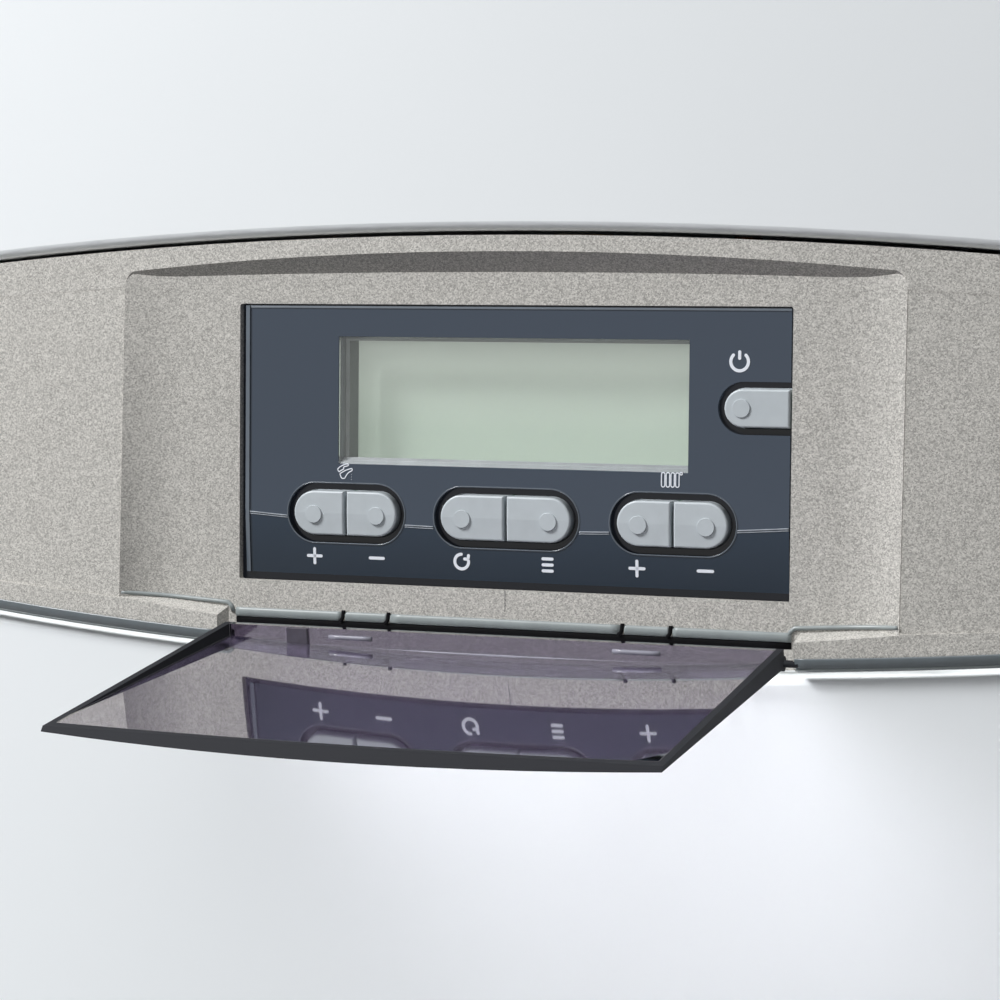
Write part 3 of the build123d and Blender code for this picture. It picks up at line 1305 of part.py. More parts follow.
# ================================================================ service valves
z_nut = z_tail - valve_nut_height
z_body = z_nut - valve_body_height
z_union = z_body - union_length
z_stem = z_nut - valve_body_height / 2
y_stem = pipe_y - valve_body_radius - stem_reach
with BuildPart() as service_valves:
    for name, x in pipe_x.items():
        with BuildSketch(Plane.XY.offset(z_nut)):
            with Locations((x, pipe_y)):
                RegularPolygon(valve_nut / 2, 6, major_radius=False)
        extrude(amount=valve_nut_height)
        rod(valve_body_radius, (x, pipe_y, z_nut), (x, pipe_y, z_body))
        rod(union_radius, (x, pipe_y, z_body), (x, pipe_y, z_union))
        if name != "hot":
            rod(stem_radius, (x, pipe_y, z_stem), (x, y_stem, z_stem))
            rod(spigot_radius, (x, y_stem, z_stem), (x, y_stem - lever_thick - lever_seat, z_stem))
        rod(tail_bore, (x, pipe_y, z_tail), (x, pipe_y, z_union), mode=Mode.SUBTRACT)
finish(service_valves.part, "service_valves")

for name in ("flow", "gas", "cold", "return"):
    x = pipe_x[name]
    with BuildPart() as lever:
        with BuildSketch(Plane(origin=(x, y_stem - lever_seat, z_stem), x_dir=(1, 0, 0), z_dir=(0, -1, 0))):
            Circle(lever_width * 0.75)
            with Locations((0, -lever_length / 2)):
                SlotOverall(lever_length + lever_width, lever_width, rotation=90)
            Circle(spigot_radius + 0.1, mode=Mode.SUBTRACT)
        extrude(amount=lever_thick)
    finish(lever.part, f"{name}_valve_lever")
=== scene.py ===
import json
import math

import bmesh
import bpy
import numpy as np
from mathutils import Matrix, Vector


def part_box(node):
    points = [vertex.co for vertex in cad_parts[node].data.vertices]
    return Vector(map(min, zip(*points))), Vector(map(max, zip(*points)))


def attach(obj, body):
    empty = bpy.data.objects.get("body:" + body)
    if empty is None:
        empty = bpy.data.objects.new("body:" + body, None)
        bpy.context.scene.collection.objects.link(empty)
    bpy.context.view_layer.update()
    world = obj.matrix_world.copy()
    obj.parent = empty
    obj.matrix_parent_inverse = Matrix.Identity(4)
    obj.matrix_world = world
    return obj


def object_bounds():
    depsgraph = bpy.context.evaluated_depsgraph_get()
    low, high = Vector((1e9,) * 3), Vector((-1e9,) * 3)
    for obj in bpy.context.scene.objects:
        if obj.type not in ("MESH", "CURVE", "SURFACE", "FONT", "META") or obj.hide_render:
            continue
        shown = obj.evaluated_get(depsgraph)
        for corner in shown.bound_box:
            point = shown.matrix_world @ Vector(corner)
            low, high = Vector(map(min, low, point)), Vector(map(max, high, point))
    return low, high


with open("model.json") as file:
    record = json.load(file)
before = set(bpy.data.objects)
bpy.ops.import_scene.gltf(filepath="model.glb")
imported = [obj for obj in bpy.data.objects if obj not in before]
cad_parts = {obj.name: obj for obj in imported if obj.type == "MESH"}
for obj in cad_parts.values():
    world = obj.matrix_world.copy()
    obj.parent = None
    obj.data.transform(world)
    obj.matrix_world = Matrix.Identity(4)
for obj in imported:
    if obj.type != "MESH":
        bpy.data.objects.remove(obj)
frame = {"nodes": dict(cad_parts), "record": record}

cadBox = [list(corner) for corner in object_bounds()]
scene = bpy.context.scene
nodes = frame["nodes"]
print("stage: frame loaded,", len(nodes), "nodes")


# node helpers
def feed(tree, value, socket):
    # value is a number, a colour or the socket that gives it
    if hasattr(value, "links"):
        tree.links.new(value, socket)
    else:
        socket.default_value = value


def reckon(tree, operation, *values, kind="Math", result=0):
    # one step of arithmetic on numbers, vectors or sockets
    node = tree.nodes.new("ShaderNode" + kind)
    node.operation = operation
    for value, socket in zip(values, node.inputs):
        feed(tree, value, socket)
    return node.outputs[result]


def mapped(tree, source, low, high, toLow=0.0, toHigh=1.0):
    spread = tree.nodes.new("ShaderNodeMapRange")
    for socket, value in zip(("Value", "From Min", "From Max", "To Min", "To Max"),
                             (source, low, high, toLow, toHigh)):
        feed(tree, value, spread.inputs[socket])
    return spread.outputs["Result"]


def parted(tree, vector):
    # the X, Y and Z of a vector
    split = tree.nodes.new("ShaderNodeSeparateXYZ")
    tree.links.new(vector, split.inputs["Vector"])
    return split.outputs


def blended(tree, factor, first, second):
    # two shaders, mixed by the factor
    mix = tree.nodes.new("ShaderNodeMixShader")
    for number, source in enumerate((factor, first, second)):
        tree.links.new(source, mix.inputs[number])
    return mix.outputs["Shader"]


def mixed(tree, factor, first, second, way="MIX"):
    # first and second are colours or the sockets that give them
    mix = tree.nodes.new("ShaderNodeMix")
    mix.data_type = "RGBA"
    mix.blend_type = way
    feed(tree, factor, mix.inputs["Factor"])
    for name, colour in (("A", first), ("B", second)):
        socket = [one for one in mix.inputs if one.name == name and one.type == "RGBA"][0]
        feed(tree, colour if hasattr(colour, "links") else (*colour[:3], 1), socket)
    return [one for one in mix.outputs if one.type == "RGBA"][0]


def seenMask(tree):
    # 1 where the camera, a mirror or glass looks, 0 where a surface gathers its light
    path = tree.nodes.new("ShaderNodeLightPath").outputs
    seen = reckon(tree, "MAXIMUM", path["Is Camera Ray"], path["Is Glossy Ray"])
    seen = reckon(tree, "MAXIMUM", seen, path["Is Transmission Ray"])
    # and not by way of a matt surface, which would be lit too much
    return reckon(tree, "MULTIPLY", seen, reckon(tree, "LESS_THAN", path["Diffuse Depth"], 0.5))


# camera and light
cameraSettings = {
    "place": (0.2933, -1.0520, -0.4468),
    "turn": 21.13,     # degrees round to the right of the front
    "drop": 3.35,      # looking down
    "roll": 0.51,
    "lens": 104.7,
    "sensor": 36.0,
    "near": 0.05,      # nothing nearer is seen
}


def addCamera(settings):
    turn, drop, roll = (math.radians(settings[k]) for k in ("turn", "drop", "roll"))
    ahead = Vector((-math.sin(turn) * math.cos(drop), math.cos(turn) * math.cos(drop), -math.sin(drop)))
    right = Vector((math.cos(turn), math.sin(turn), 0))
    up = right.cross(ahead)
    right, up = (right * math.cos(roll) + up * math.sin(roll),
                 up * math.cos(roll) - right * math.sin(roll))
    data = bpy.data.cameras.new("camera")
    data.lens = settings["lens"]
    data.sensor_width = settings["sensor"]
    data.clip_start = settings["near"]
    camera = bpy.data.objects.new("camera", data)
    turned = Matrix((right, up, -ahead)).transposed().to_4x4()
    camera.matrix_world = Matrix.Translation(settings["place"]) @ turned
    scene.collection.objects.link(camera)
    scene.camera = camera


lightSettings = {
    "lamps": {
        "key": {"place": (-1.70, -1.55, 1.45), "size": 0.8, "power": 109.0},
        "front": {"place": (0.55, -2.30, 0.95), "size": 1.4, "power": 6.0},
        "side": {"place": (2.3, 0.6, 0.5), "size": 1.6, "power": 14.0},
        "back": {"place": (0.5, 1.9, 0.7), "size": 1.6, "power": 22.0},
    },
    "aim": (0.0, -0.25, -0.45),
    "above": 0.27,            # strength of the soft light from above
    "below": 0.0,             # and from below
    "change": (-0.5, 0.5),    # heights between which it changes, 1 being straight up
    "background": (0.93, 0.94, 0.95, 1),
}


def addLights(settings):
    for name, one in settings["lamps"].items():
        data = bpy.data.lights.new(name, "AREA")
        data.energy = one["power"]
        data.size = one["size"]
        lamp = bpy.data.objects.new(name, data)
        lamp.location = one["place"]
        beam = Vector(settings["aim"]) - Vector(one["place"])
        lamp.rotation_euler = beam.to_track_quat("-Z", "Y").to_euler()
        scene.collection.objects.link(lamp)
    world = bpy.data.worlds.new("studio")
    world.use_nodes = True
    scene.world = world
    tree = world.node_tree
    soft = tree.nodes["Background"]
    places = tree.nodes.new("ShaderNodeTexCoord")
    height = parted(tree, places.outputs["Generated"])["Z"]
    strength = mapped(tree, height, *settings["change"], settings["below"], settings["above"])
    tree.links.new(strength, soft.inputs["Strength"])
    soft.inputs["Color"].default_value = (1, 1, 1, 1)
    plain = tree.nodes.new("ShaderNodeBackground")
    plain.inputs["Color"].default_value = settings["background"]
    ends = soft.outputs["Background"], plain.outputs["Background"]
    tree.links.new(blended(tree, seenMask(tree), *ends), tree.nodes["World Output"].inputs["Surface"])


scene.view_settings.view_transform = "Standard"
addCamera(cameraSettings)
addLights(lightSettings)
print("stage: camera and lights")

# finishes
# colour is linear; mottle changes it over patchSize; grain is the relief's size and depth, in metres;
# shine is the specular level; through is the share of light that passes; flake is the size and strength of
# the specks in a metallic paint; soaks is a see-through body's own tint and its density
finishes = {
    "white_enamel": {"colour": (0.86, 0.895, 0.92), "rough": 0.42, "coat": 0.08, "shine": 0.30,
                     "mottle": 0.004, "patchSize": 0.12, "grainSize": 0.0016, "grainDepth": 0.000010},
    "silver_fascia": {"colour": (0.475, 0.463, 0.437), "rough": 0.50, "metal": 0.06, "mottle": 0.03,
                      "patchSize": 0.004, "grainSize": 0.0006, "grainDepth": 0.00002,
                      "flake": (0.00034, 0.36), "shine": 0.25},
    # painted shade on the fascia's rolled edges, darker than its silver; on the band's dark lower edge it is
    # a painted highlight line
    "fascia_edge": {"colour": (0.25, 0.28, 0.285), "rough": 0.36, "mottle": 0.06,
                    "patchSize": 0.003, "grainSize": 0.0006, "grainDepth": 0.00001},
    # painted shade: a dark skin over the band's rounded lower edge
    "band_edge_shade": {"colour": (0.13, 0.155, 0.17), "rough": 0.34, "mottle": 0.05,
                    "patchSize": 0.003, "grainSize": 0.0006, "grainDepth": 0.00001},
    "smoked_flap": {"colour": (0.86, 0.83, 0.90), "rough": 0.03, "through": 1.0, "mottle": 0.004,
                    "patchSize": 0.03, "grainSize": 0.01, "grainDepth": 0.000004, "ior": 1.58,
                    "shine": 0.2, "coat": 1.0, "coatIor": 2.3, "soaks": ((0.42, 0.35, 0.50), 1150.0)},
    "flap_rib": {"colour": (0.075, 0.068, 0.090), "rough": 0.22, "mottle": 0.15,
                 "patchSize": 0.003, "grainSize": 0.002, "grainDepth": 0.00001},
    "flap_bracket": {"colour": (0.24, 0.24, 0.29), "rough": 0.25, "mottle": 0.08,
                     "patchSize": 0.004, "grainSize": 0.002, "grainDepth": 0.00001},
    "dark_panel": {"colour": (0.040, 0.056, 0.080), "rough": 0.24, "mottle": 0.03,
                   "patchSize": 0.02, "grainSize": 0.0004, "grainDepth": 0.000003, "shine": 0.35},
    # lighter than the panel: real edges and rims, with a painted highlight in their colour
    "panel_edge_highlight": {"colour": (0.095, 0.115, 0.14), "rough": 0.20, "mottle": 0.08,
                   "patchSize": 0.01, "grainSize": 0.0006, "grainDepth": 0.000004},
    # painted highlight along the panel's crease
    "crease_highlight": {"colour": (0.30, 0.33, 0.37), "rough": 0.20, "mottle": 0.25,
                     "patchSize": 0.006, "grainSize": 0.001, "grainDepth": 0.00001},
    "clear_window": {"colour": (0.96, 0.98, 0.97), "rough": 0.02, "through": 1.0, "mottle": 0.004,
                     "patchSize": 0.03, "grainSize": 0.02, "grainDepth": 0.000001, "ior": 1.46},
    "display_glass": {"colour": (0.385, 0.44, 0.385), "rough": 0.32, "mottle": 0.02,
                      "patchSize": 0.05, "grainSize": 0.0003, "grainDepth": 0.000002},
    "display_frame": {"colour": (0.12, 0.13, 0.14), "rough": 0.30, "mottle": 0.10,
                      "patchSize": 0.006, "grainSize": 0.0004, "grainDepth": 0.00001},
    "bezel_grey": {"colour": (0.105, 0.115, 0.112), "rough": 0.42, "mottle": 0.08,
                   "patchSize": 0.006, "grainSize": 0.0005, "grainDepth": 0.00001},
    "black_plastic": {"colour": (0.013, 0.014, 0.017), "rough": 0.45, "shine": 0.3, "mottle": 0.12,
                      "patchSize": 0.004, "grainSize": 0.0005, "grainDepth": 0.00002},
    # as painted shade, black in the fascia's slits and under its roll
    "hollow_black": {"colour": (0.003, 0.003, 0.004), "rough": 0.7, "shine": 0.1, "mottle": 0.1,
                     "patchSize": 0.003, "grainSize": 0.0005, "grainDepth": 0.00001},
    "key_grey": {"colour": (0.485, 0.53, 0.56), "rough": 0.40, "mottle": 0.03,
                 "patchSize": 0.004, "grainSize": 0.0004, "grainDepth": 0.00001},
    "galvanised_steel": {"colour": (0.52, 0.54, 0.56), "rough": 0.36, "metal": 0.9, "mottle": 0.20,
                         "patchSize": 0.012, "grainSize": 0.002, "grainDepth": 0.00002},
    "zinc_screw": {"colour": (0.58, 0.59, 0.60), "rough": 0.30, "metal": 1.0, "mottle": 0.10,
                   "patchSize": 0.002, "grainSize": 0.0004, "grainDepth": 0.00001},
    "board_green": {"colour": (0.02, 0.16, 0.07), "rough": 0.35, "mottle": 0.30,
                    "patchSize": 0.003, "grainSize": 0.001, "grainDepth": 0.00002},
    "copper": {"colour": (0.72, 0.33, 0.18), "rough": 0.26, "metal": 1.0, "mottle": 0.18,
               "patchSize": 0.012, "grainSize": 0.001, "grainDepth": 0.00001},
    "ceramic_fibre": {"colour": (0.78, 0.74, 0.64), "rough": 0.92, "mottle": 0.10,
                      "patchSize": 0.004, "grainSize": 0.0012, "grainDepth": 0.00015},
    "ceramic_white": {"colour": (0.85, 0.84, 0.80), "rough": 0.18, "coat": 0.4, "mottle": 0.03,
                      "patchSize": 0.004, "grainSize": 0.002, "grainDepth": 0.000005},
    "stainless": {"colour": (0.60, 0.60, 0.59), "rough": 0.28, "metal": 1.0, "mottle": 0.08,
                  "patchSize": 0.010, "grainSize": 0.0008, "grainDepth": 0.00001},
    "brass": {"colour": (0.72, 0.53, 0.24), "rough": 0.34, "metal": 1.0, "mottle": 0.16,
              "patchSize": 0.006, "grainSize": 0.0009, "grainDepth": 0.00003},
    "pump_black": {"colour": (0.025, 0.026, 0.03), "rough": 0.5, "mottle": 0.2,
                   "patchSize": 0.003, "grainSize": 0.0015, "grainDepth": 0.00008},
    "rotor_steel": {"colour": (0.55, 0.55, 0.56), "rough": 0.3, "metal": 1.0, "mottle": 0.08,
                    "patchSize": 0.004, "grainSize": 0.0006, "grainDepth": 0.00001},
    "red_paint": {"colour": (0.42, 0.03, 0.02), "rough": 0.3, "coat": 0.3, "mottle": 0.06,
                  "patchSize": 0.02, "grainSize": 0.002, "grainDepth": 0.00002},
    "cast_aluminium": {"colour": (0.60, 0.61, 0.62), "rough": 0.48, "metal": 0.95, "mottle": 0.12,
                       "patchSize": 0.003, "grainSize": 0.0010, "grainDepth": 0.00006},
    "grey_plastic": {"colour": (0.13, 0.135, 0.14), "rough": 0.45, "mottle": 0.06,
                     "patchSize": 0.004, "grainSize": 0.0005, "grainDepth": 0.00002},
    "knob_red": {"colour": (0.50, 0.02, 0.015), "rough": 0.3, "mottle": 0.05,
                 "patchSize": 0.004, "grainSize": 0.0005, "grainDepth": 0.00001},
    "lever_blue": {"colour": (0.03, 0.07, 0.34), "rough": 0.36, "mottle": 0.06,
                   "patchSize": 0.004, "grainSize": 0.0008, "grainDepth": 0.00003},
    "lever_yellow": {"colour": (0.72, 0.48, 0.02), "rough": 0.36, "mottle": 0.06,
                     "patchSize": 0.004, "grainSize": 0.0008, "grainDepth": 0.00003},
    "legend_print": {"colour": (0.82, 0.86, 0.93), "rough": 0.5, "mottle": 0.02,
                     "patchSize": 0.002, "grainSize": 0.0004, "grainDepth": 0.000005},
}


spreadSettings = {
    "noise": (0.3, 0.7),          # the noise's values that are drawn out from one end to the other
    "rough": 0.08,                # how far the roughness strays to both sides
    "speckSize": 2.4,             # the coarser specks of a metallic paint, in flakes
    "speckShare": 1 / 6,          # and their share of the flakes' strength
}


def objectNoise(tree, size, detail, kind="Noise"):
    places = tree.nodes.get("places") or tree.nodes.new("ShaderNodeTexCoord")
    places.name = "places"
    texture = tree.nodes.new("ShaderNodeTex" + kind)
    texture.inputs["Scale"].default_value = 1 / size
    if kind == "Noise":
        texture.inputs["Detail"].default_value = detail
    tree.links.new(places.outputs["Object"], texture.inputs["Vector"])
    return texture


def addFinish(name, look):
    material = bpy.data.materials.new(name)
    material.use_nodes = True
    tree = material.node_tree
    shader = tree.nodes["Principled BSDF"]
    for socket, key, usual in (("Metallic", "metal", 0.0), ("Coat Weight", "coat", 0.0),
                               ("Transmission Weight", "through", 0.0), ("IOR", "ior", 1.5),
                               ("Coat IOR", "coatIor", 1.5), ("Specular IOR Level", "shine", 0.5)):
        shader.inputs[socket].default_value = look.get(key, usual)
    noise, rough = spreadSettings["noise"], spreadSettings["rough"]
    patches = mapped(tree, objectNoise(tree, look["patchSize"], 3).outputs["Fac"], *noise)
    darker, lighter = ([min(c * (1 + s * look["mottle"]), 1.0) for c in look["colour"]] for s in (-1, 1))
    colour = mixed(tree, patches, darker, lighter)
    if "flake" in look:
        # each flake is a cell with its own brightness, over a coarser and weaker noise
        size, strength = look["flake"]
        weak = strength * spreadSettings["speckShare"]
        cells = tree.nodes.new("ShaderNodeSeparateColor")
        tree.links.new(objectNoise(tree, size, 0, "Voronoi").outputs["Color"], cells.inputs["Color"])
        flakes = mapped(tree, cells.outputs["Red"], 0.0, 1.0, 1 - strength, 1 + strength)
        coarse = objectNoise(tree, size * spreadSettings["speckSize"], 2).outputs["Fac"]
        specks = mapped(tree, coarse, *noise, 1 - weak, 1 + weak)
        for factor in (flakes, specks):
            grey = tree.nodes.new("ShaderNodeCombineColor")
            for channel in ("Red", "Green", "Blue"):
                tree.links.new(factor, grey.inputs[channel])
            colour = mixed(tree, 1.0, colour, grey.outputs["Color"], "MULTIPLY")
    tree.links.new(colour, shader.inputs["Base Color"])
    gloss = mapped(tree, patches, 0.0, 1.0, look["rough"] * (1 - rough), look["rough"] * (1 + rough))
    tree.links.new(gloss, shader.inputs["Roughness"])
    relief = tree.nodes.new("ShaderNodeBump")
    relief.inputs["Distance"].default_value = look["grainDepth"]
    tree.links.new(objectNoise(tree, look["grainSize"], 2).outputs["Fac"], relief.inputs["Height"])
    tree.links.new(relief.outputs["Normal"], shader.inputs["Normal"])
    if "soaks" in look:
        body = tree.nodes.new("ShaderNodeVolumeAbsorption")
        body.inputs["Color"].default_value = (*look["soaks"][0], 1)
        body.inputs["Density"].default_value = look["soaks"][1]
        tree.links.new(body.outputs["Volume"], tree.nodes["Material Output"].inputs["Volume"])
    return material


def dress(node, material):
    if not node.material_slots:
        node.data.materials.append(None)
    for place in node.material_slots:
        place.material = material


materials = {name: addFinish(name, look) for name, look in finishes.items()}
for row in frame["record"]["subparts"]:
    dress(nodes[row["node"]], materials[row["material_slot"]])
dress(nodes["display_bezel"], materials["bezel_grey"])
for name in ("display_window", "flap", "display_bezel", "display_panel", "fascia"):
    nodes[name].visible_shadow = False     # clear plastic, and what stands round the deep display
print("stage: finishes,", len(materials))

# places that the pieces share
panelSettings = {
    "keyLine": 0.0200,        # middle of the keys below the panel's middle
    "crease": 0.0232,         # bend of the panel below its middle
    "creaseRadius": 1.100,    # arc of the bend, which rises to the sides
    "creaseTilt": 4.0,        # degrees, the lower part leans back
    "setBack": 0.0006,        # panel's face behind the fascia's recess floor
    "shadeDepth": 0.00135,    # deeper than this behind the face, the panel is painted black as shade
    # painted shade: the colour above the crease, a darker one below it, a darker one still at the foot, and
    # black for the hollows
    "upper": (0.050, 0.066, 0.092),
    "lower": (0.020, 0.034, 0.055),
    "foot": (0.010, 0.020, 0.034),
    "hollow": (0.002, 0.003, 0.006),
    "footFade": 0.016,        # from the crease down to the foot's darker painted shade
    "creaseBlur": 0.0002,
    "depthBlur": 0.0001,
}
# painted light on the display glass: its colour at the foot and a lighter one at the top
displayPaintedLight = {
    "reach": (0.004, 0.031),  # heights above the panel's middle
    "foot": (0.335, 0.395, 0.335),
    "top": (0.50, 0.545, 0.49),
}
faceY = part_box("display_panel")[0].y
floorY = faceY - panelSettings["setBack"]
bandZ = sum(corner.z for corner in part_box("button_reset")) / 2 + panelSettings["keyLine"]


def creaseHeight(x):
    # the bend is an arc: its lowest point in the middle, plus the fall of a circle of creaseRadius
    radius = panelSettings["creaseRadius"]
    return bandZ - panelSettings["crease"] + radius - np.sqrt(radius ** 2 - x ** 2)


def onPanel(x, z, lift):
    # a point of the panel's face: it leans back below the crease by the tangent of the tilt
    x, z = np.broadcast_arrays(x, z)
    behind = np.clip(creaseHeight(x) - z, 0, None) * math.tan(math.radians(panelSettings["creaseTilt"]))
    return np.stack([x, faceY + behind - lift, z], axis=-1)


def paintPanelShade(settings):
    # painted shade: a colour that darkens below the bowed crease and further towards the foot, and black
    # painted by depth behind the face as the shade in pockets and gaps
    tree = materials["dark_panel"].node_tree
    place = parted(tree, tree.nodes["places"].outputs["Object"])
    square = reckon(tree, "MULTIPLY", place["X"], place["X"])
    height = reckon(tree, "MULTIPLY_ADD", square, -1 / (2 * settings["creaseRadius"]), place["Z"])
    bend = bandZ - settings["crease"]
    lower = mixed(tree, mapped(tree, height, bend, bend - settings["footFade"]),
                  settings["lower"], settings["foot"])
    above = mapped(tree, height, bend - settings["creaseBlur"], bend + settings["creaseBlur"])
    shadedTone = mixed(tree, above, lower, settings["upper"])
    start = faceY + settings["shadeDepth"]
    deep = mapped(tree, place["Y"], start, start + settings["depthBlur"])
    colour = mixed(tree, deep, shadedTone, settings["hollow"])
    tree.links.new(colour, tree.nodes["Principled BSDF"].inputs["Base Color"])


def paintDisplayLight(settings):
    # painted light: the glass's colour is lighter towards its top
    tree = materials["display_glass"].node_tree
    height = parted(tree, tree.nodes["places"].outputs["Object"])["Z"]
    rise = mapped(tree, height, *(bandZ + z for z in settings["reach"]))
    shade = mixed(tree, rise, settings["foot"], settings["top"])
    tree.links.new(shade, tree.nodes["Principled BSDF"].inputs["Base Color"])


paintPanelShade(panelSettings)
paintDisplayLight(displayPaintedLight)


# mesh helpers
def gridFaces(rows, columns):
    # each face joins a grid point to its neighbours along and across, and the last column to the first
    here = np.arange(rows * columns).reshape(rows, columns)
    after = np.roll(here, -1, axis=1)
    return np.stack([here[:-1], after[:-1], after[1:], here[1:]], axis=-1).reshape(-1, 4)


meshSettings = {
    "merge": 2e-7,      # points nearer than this are joined
    "thin": 1e-8,       # and faces thinner than this are dropped
}


def addPiece(name, grids, material, body, smooth=False):
    # joins point grids of shape (rows, columns, 3), each closed round its columns, into one mesh
    points, faces, count = [], [], 0
    for grid in grids:
        points.append(grid.reshape(-1, 3))
        faces.append(gridFaces(*grid.shape[:2]) + count)
        count += grid.shape[0] * grid.shape[1]
    mesh = bpy.data.meshes.new(name)
    mesh.from_pydata(np.concatenate(points).tolist(), [], np.concatenate(faces).tolist())
    work = bmesh.new()
    work.from_mesh(mesh)
    bmesh.ops.remove_doubles(work, verts=work.verts, dist=meshSettings["merge"])
    bmesh.ops.dissolve_degenerate(work, edges=work.edges, dist=meshSettings["thin"])
    bmesh.ops.recalc_face_normals(work, faces=work.faces)
    work.to_mesh(mesh)
    work.free()
    if smooth:
        mesh.polygons.foreach_set("use_smooth", [True] * len(mesh.polygons))
    piece = bpy.data.objects.new(name, mesh)
    scene.collection.objects.link(piece)
    piece.data.materials.append(material)
    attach(piece, body)


def arc(centre, radius, start, end, count=40):
    # a stretch of a circle in the X and Z plane
    turn = np.radians(np.linspace(start, end, count))
    return np.stack([centre[0] + radius * np.cos(turn), centre[1] + radius * np.sin(turn)], axis=1)


def stroke(path, width, lift, count=48, thinnest=1e-7):
    # a flat strip along a path on the panel; its half width follows a circle at both ends, so they are round
    path = np.asarray(path, float)
    length = np.r_[0, np.cumsum(np.linalg.norm(np.diff(path, axis=0), axis=1))]
    wanted = length[-1] * (1 - np.cos(np.linspace(0, np.pi, count))) / 2
    path = np.stack([np.interp(wanted, length, path[:, k]) for k in (0, 1)], axis=1)
    along = np.gradient(path, axis=0)
    along /= np.linalg.norm(along, axis=1, keepdims=True)
    half = width / 2
    toEnd = np.minimum(np.minimum(wanted, length[-1] - wanted), half)
    half = np.sqrt(np.clip(half ** 2 - (half - toEnd) ** 2, thinnest ** 2, None))[:, None]
    side = np.array([-1, -1, 1, 1]) * half
    return onPanel(path[:, :1] - along[:, 1:] * side, path[:, 1:] + along[:, :1] * side,
                   np.array([0, lift, lift, 0]) + 0 * side)


def capped(grid):
    # closes both ends of a tube on the middle of its end ring
    start, end = (np.repeat(ring.mean(axis=1, keepdims=True), grid.shape[1], axis=1)
                  for ring in (grid[:1], grid[-1:]))
    return np.concatenate([start, grid, end])


def carried(path, across, profile, closed=False):
    # a closed profile carried along a path: each point is the path's, plus across times the profile's first
    # value, plus forward (-Y) times its second
    path, profile = np.asarray(path, float), np.asarray(profile, float)
    grid = (path[:, None] + across[:, None] * profile[None, :, :1]
            - np.array([0, 1, 0]) * profile[None, :, 1:])
    return np.concatenate([grid, grid[:1]]) if closed else capped(grid)


def sideways(path):
    # the unit vector square to the path in the X and Z plane
    along = np.gradient(path, axis=0)
    square = np.stack([-along[:, 2], 0 * along[:, 0], along[:, 0]], axis=1)
    return square / np.linalg.norm(square, axis=1, keepdims=True)


def roundProfile(radius, count=12):
    # a full circle, whose last point stands before its first
    angle = np.linspace(0, 2 * np.pi, count, endpoint=False)
    return np.stack([radius * np.cos(angle), radius * np.sin(angle)], axis=1)


# signs printed on the panel
signSettings = {
    "lift": 0.00010,
    "bold": 0.00088,         # width of the strokes beside the keys
    "fine": 0.00030,         # and of those by the display
    "row": 0.0326,           # lower row of signs, below the panel's middle
    "size": 0.0050,
}


def plusSign(x, z, size):
    return [[(x - size / 2, z), (x + size / 2, z)], [(x, z - size / 2), (x, z + size / 2)]]


def minusSign(x, z, size):
    return [[(x - size / 2, z), (x + size / 2, z)]]


def turnSign(x, z, size):
    # an open circle that ends in an arrow head
    ring = arc((x, z), size * 0.42, 20, -280)
    tip = ring[0]
    return [ring, [tip + (-size * 0.30, size * 0.02), tip], [tip + (size * 0.04, size * 0.30), tip]]


def listSign(x, z, size):
    # three level strokes, one over the other
    return [[(x - size * 0.36, z + row * size * 0.34), (x + size * 0.36, z + row * size * 0.34)]
            for row in (-1, 0, 1)]


def powerSign(x, z, size):
    # a circle open at the top, and an upright stroke in the gap
    return [arc((x, z), size / 2, 125, 415), [(x, z + size * 0.10), (x, z + size * 0.62)]]


def tapSign(x, z, size):
    # a tilted tap in outline, its handle above its spout, with three drops; in tenths of its size
    handle = [(-4.6, 1.0), (-3.4, 2.2), (-1.9, 3.1), (-0.2, 3.8), (1.6, 4.3), (2.4, 3.8), (2.0, 3.1),
              (-0.2, 2.6), (-0.9, 2.1), (-0.6, 1.2), (-2.3, 0.4), (-3.6, -0.5), (-4.6, 1.0)]
    spout = [(-3.1, -1.5), (-1.7, -0.7), (0.3, 0.4), (2.3, 1.1), (4.3, 1.7), (4.8, 1.0), (4.5, 0.3),
             (2.9, -0.4), (1.6, -1.5), (0.7, -2.9), (0.0, -4.1), (-1.6, -4.3), (-2.3, -3.5), (-3.1, -1.5)]
    drops = [[(4.2, low), (4.2, low - 0.25)] for low in (-1.6, -3.1, -4.6)]
    unit = size / 10
    return [[(x + a * unit, z + b * unit) for a, b in path] for path in [handle, spout, *drops]]


def radiatorSign(x, z, size):
    # four tall loops in a row and a small ring
    loops = []
    narrow, high = size * 0.10, size * 0.30
    for place in x + np.linspace(-0.41, 0.41, 4) * size:
        upper = arc((place, z + high), narrow, 0, 180, 16)
        lower = arc((place, z - high), narrow, 180, 360, 16)
        loops.append(np.concatenate([upper, lower, upper[:1]]))
    return loops + [arc((x + size * 0.62, z + size * 0.36), size * 0.07, 0, 360, 16)]


signRow = bandZ - signSettings["row"]
signPlaces = {
    "legend_hot_water_plus": (plusSign, -0.0594, signRow),
    "legend_hot_water_minus": (minusSign, -0.0398, signRow),
    "legend_reset": (turnSign, -0.0135, signRow),
    "legend_menu": (listSign, 0.0125, signRow),
    "legend_heating_plus": (plusSign, 0.0389, signRow),
    "legend_heating_minus": (minusSign, 0.0587, signRow),
    "legend_power": (powerSign, 0.0679, bandZ + 0.0251),
    "legend_tap": (tapSign, -0.0497, bandZ - 0.0078),
    "legend_radiator": (radiatorSign, 0.0485, bandZ - 0.0077),
}
for name, (sign, x, z) in signPlaces.items():
    width = signSettings["fine" if sign in (tapSign, radiatorSign) else "bold"]
    strips = [stroke(path, width, signSettings["lift"]) for path in sign(x, z, signSettings["size"])]
    addPiece(name, strips, materials["legend_print"], "casing")
print("stage: signs,", len(signPlaces))
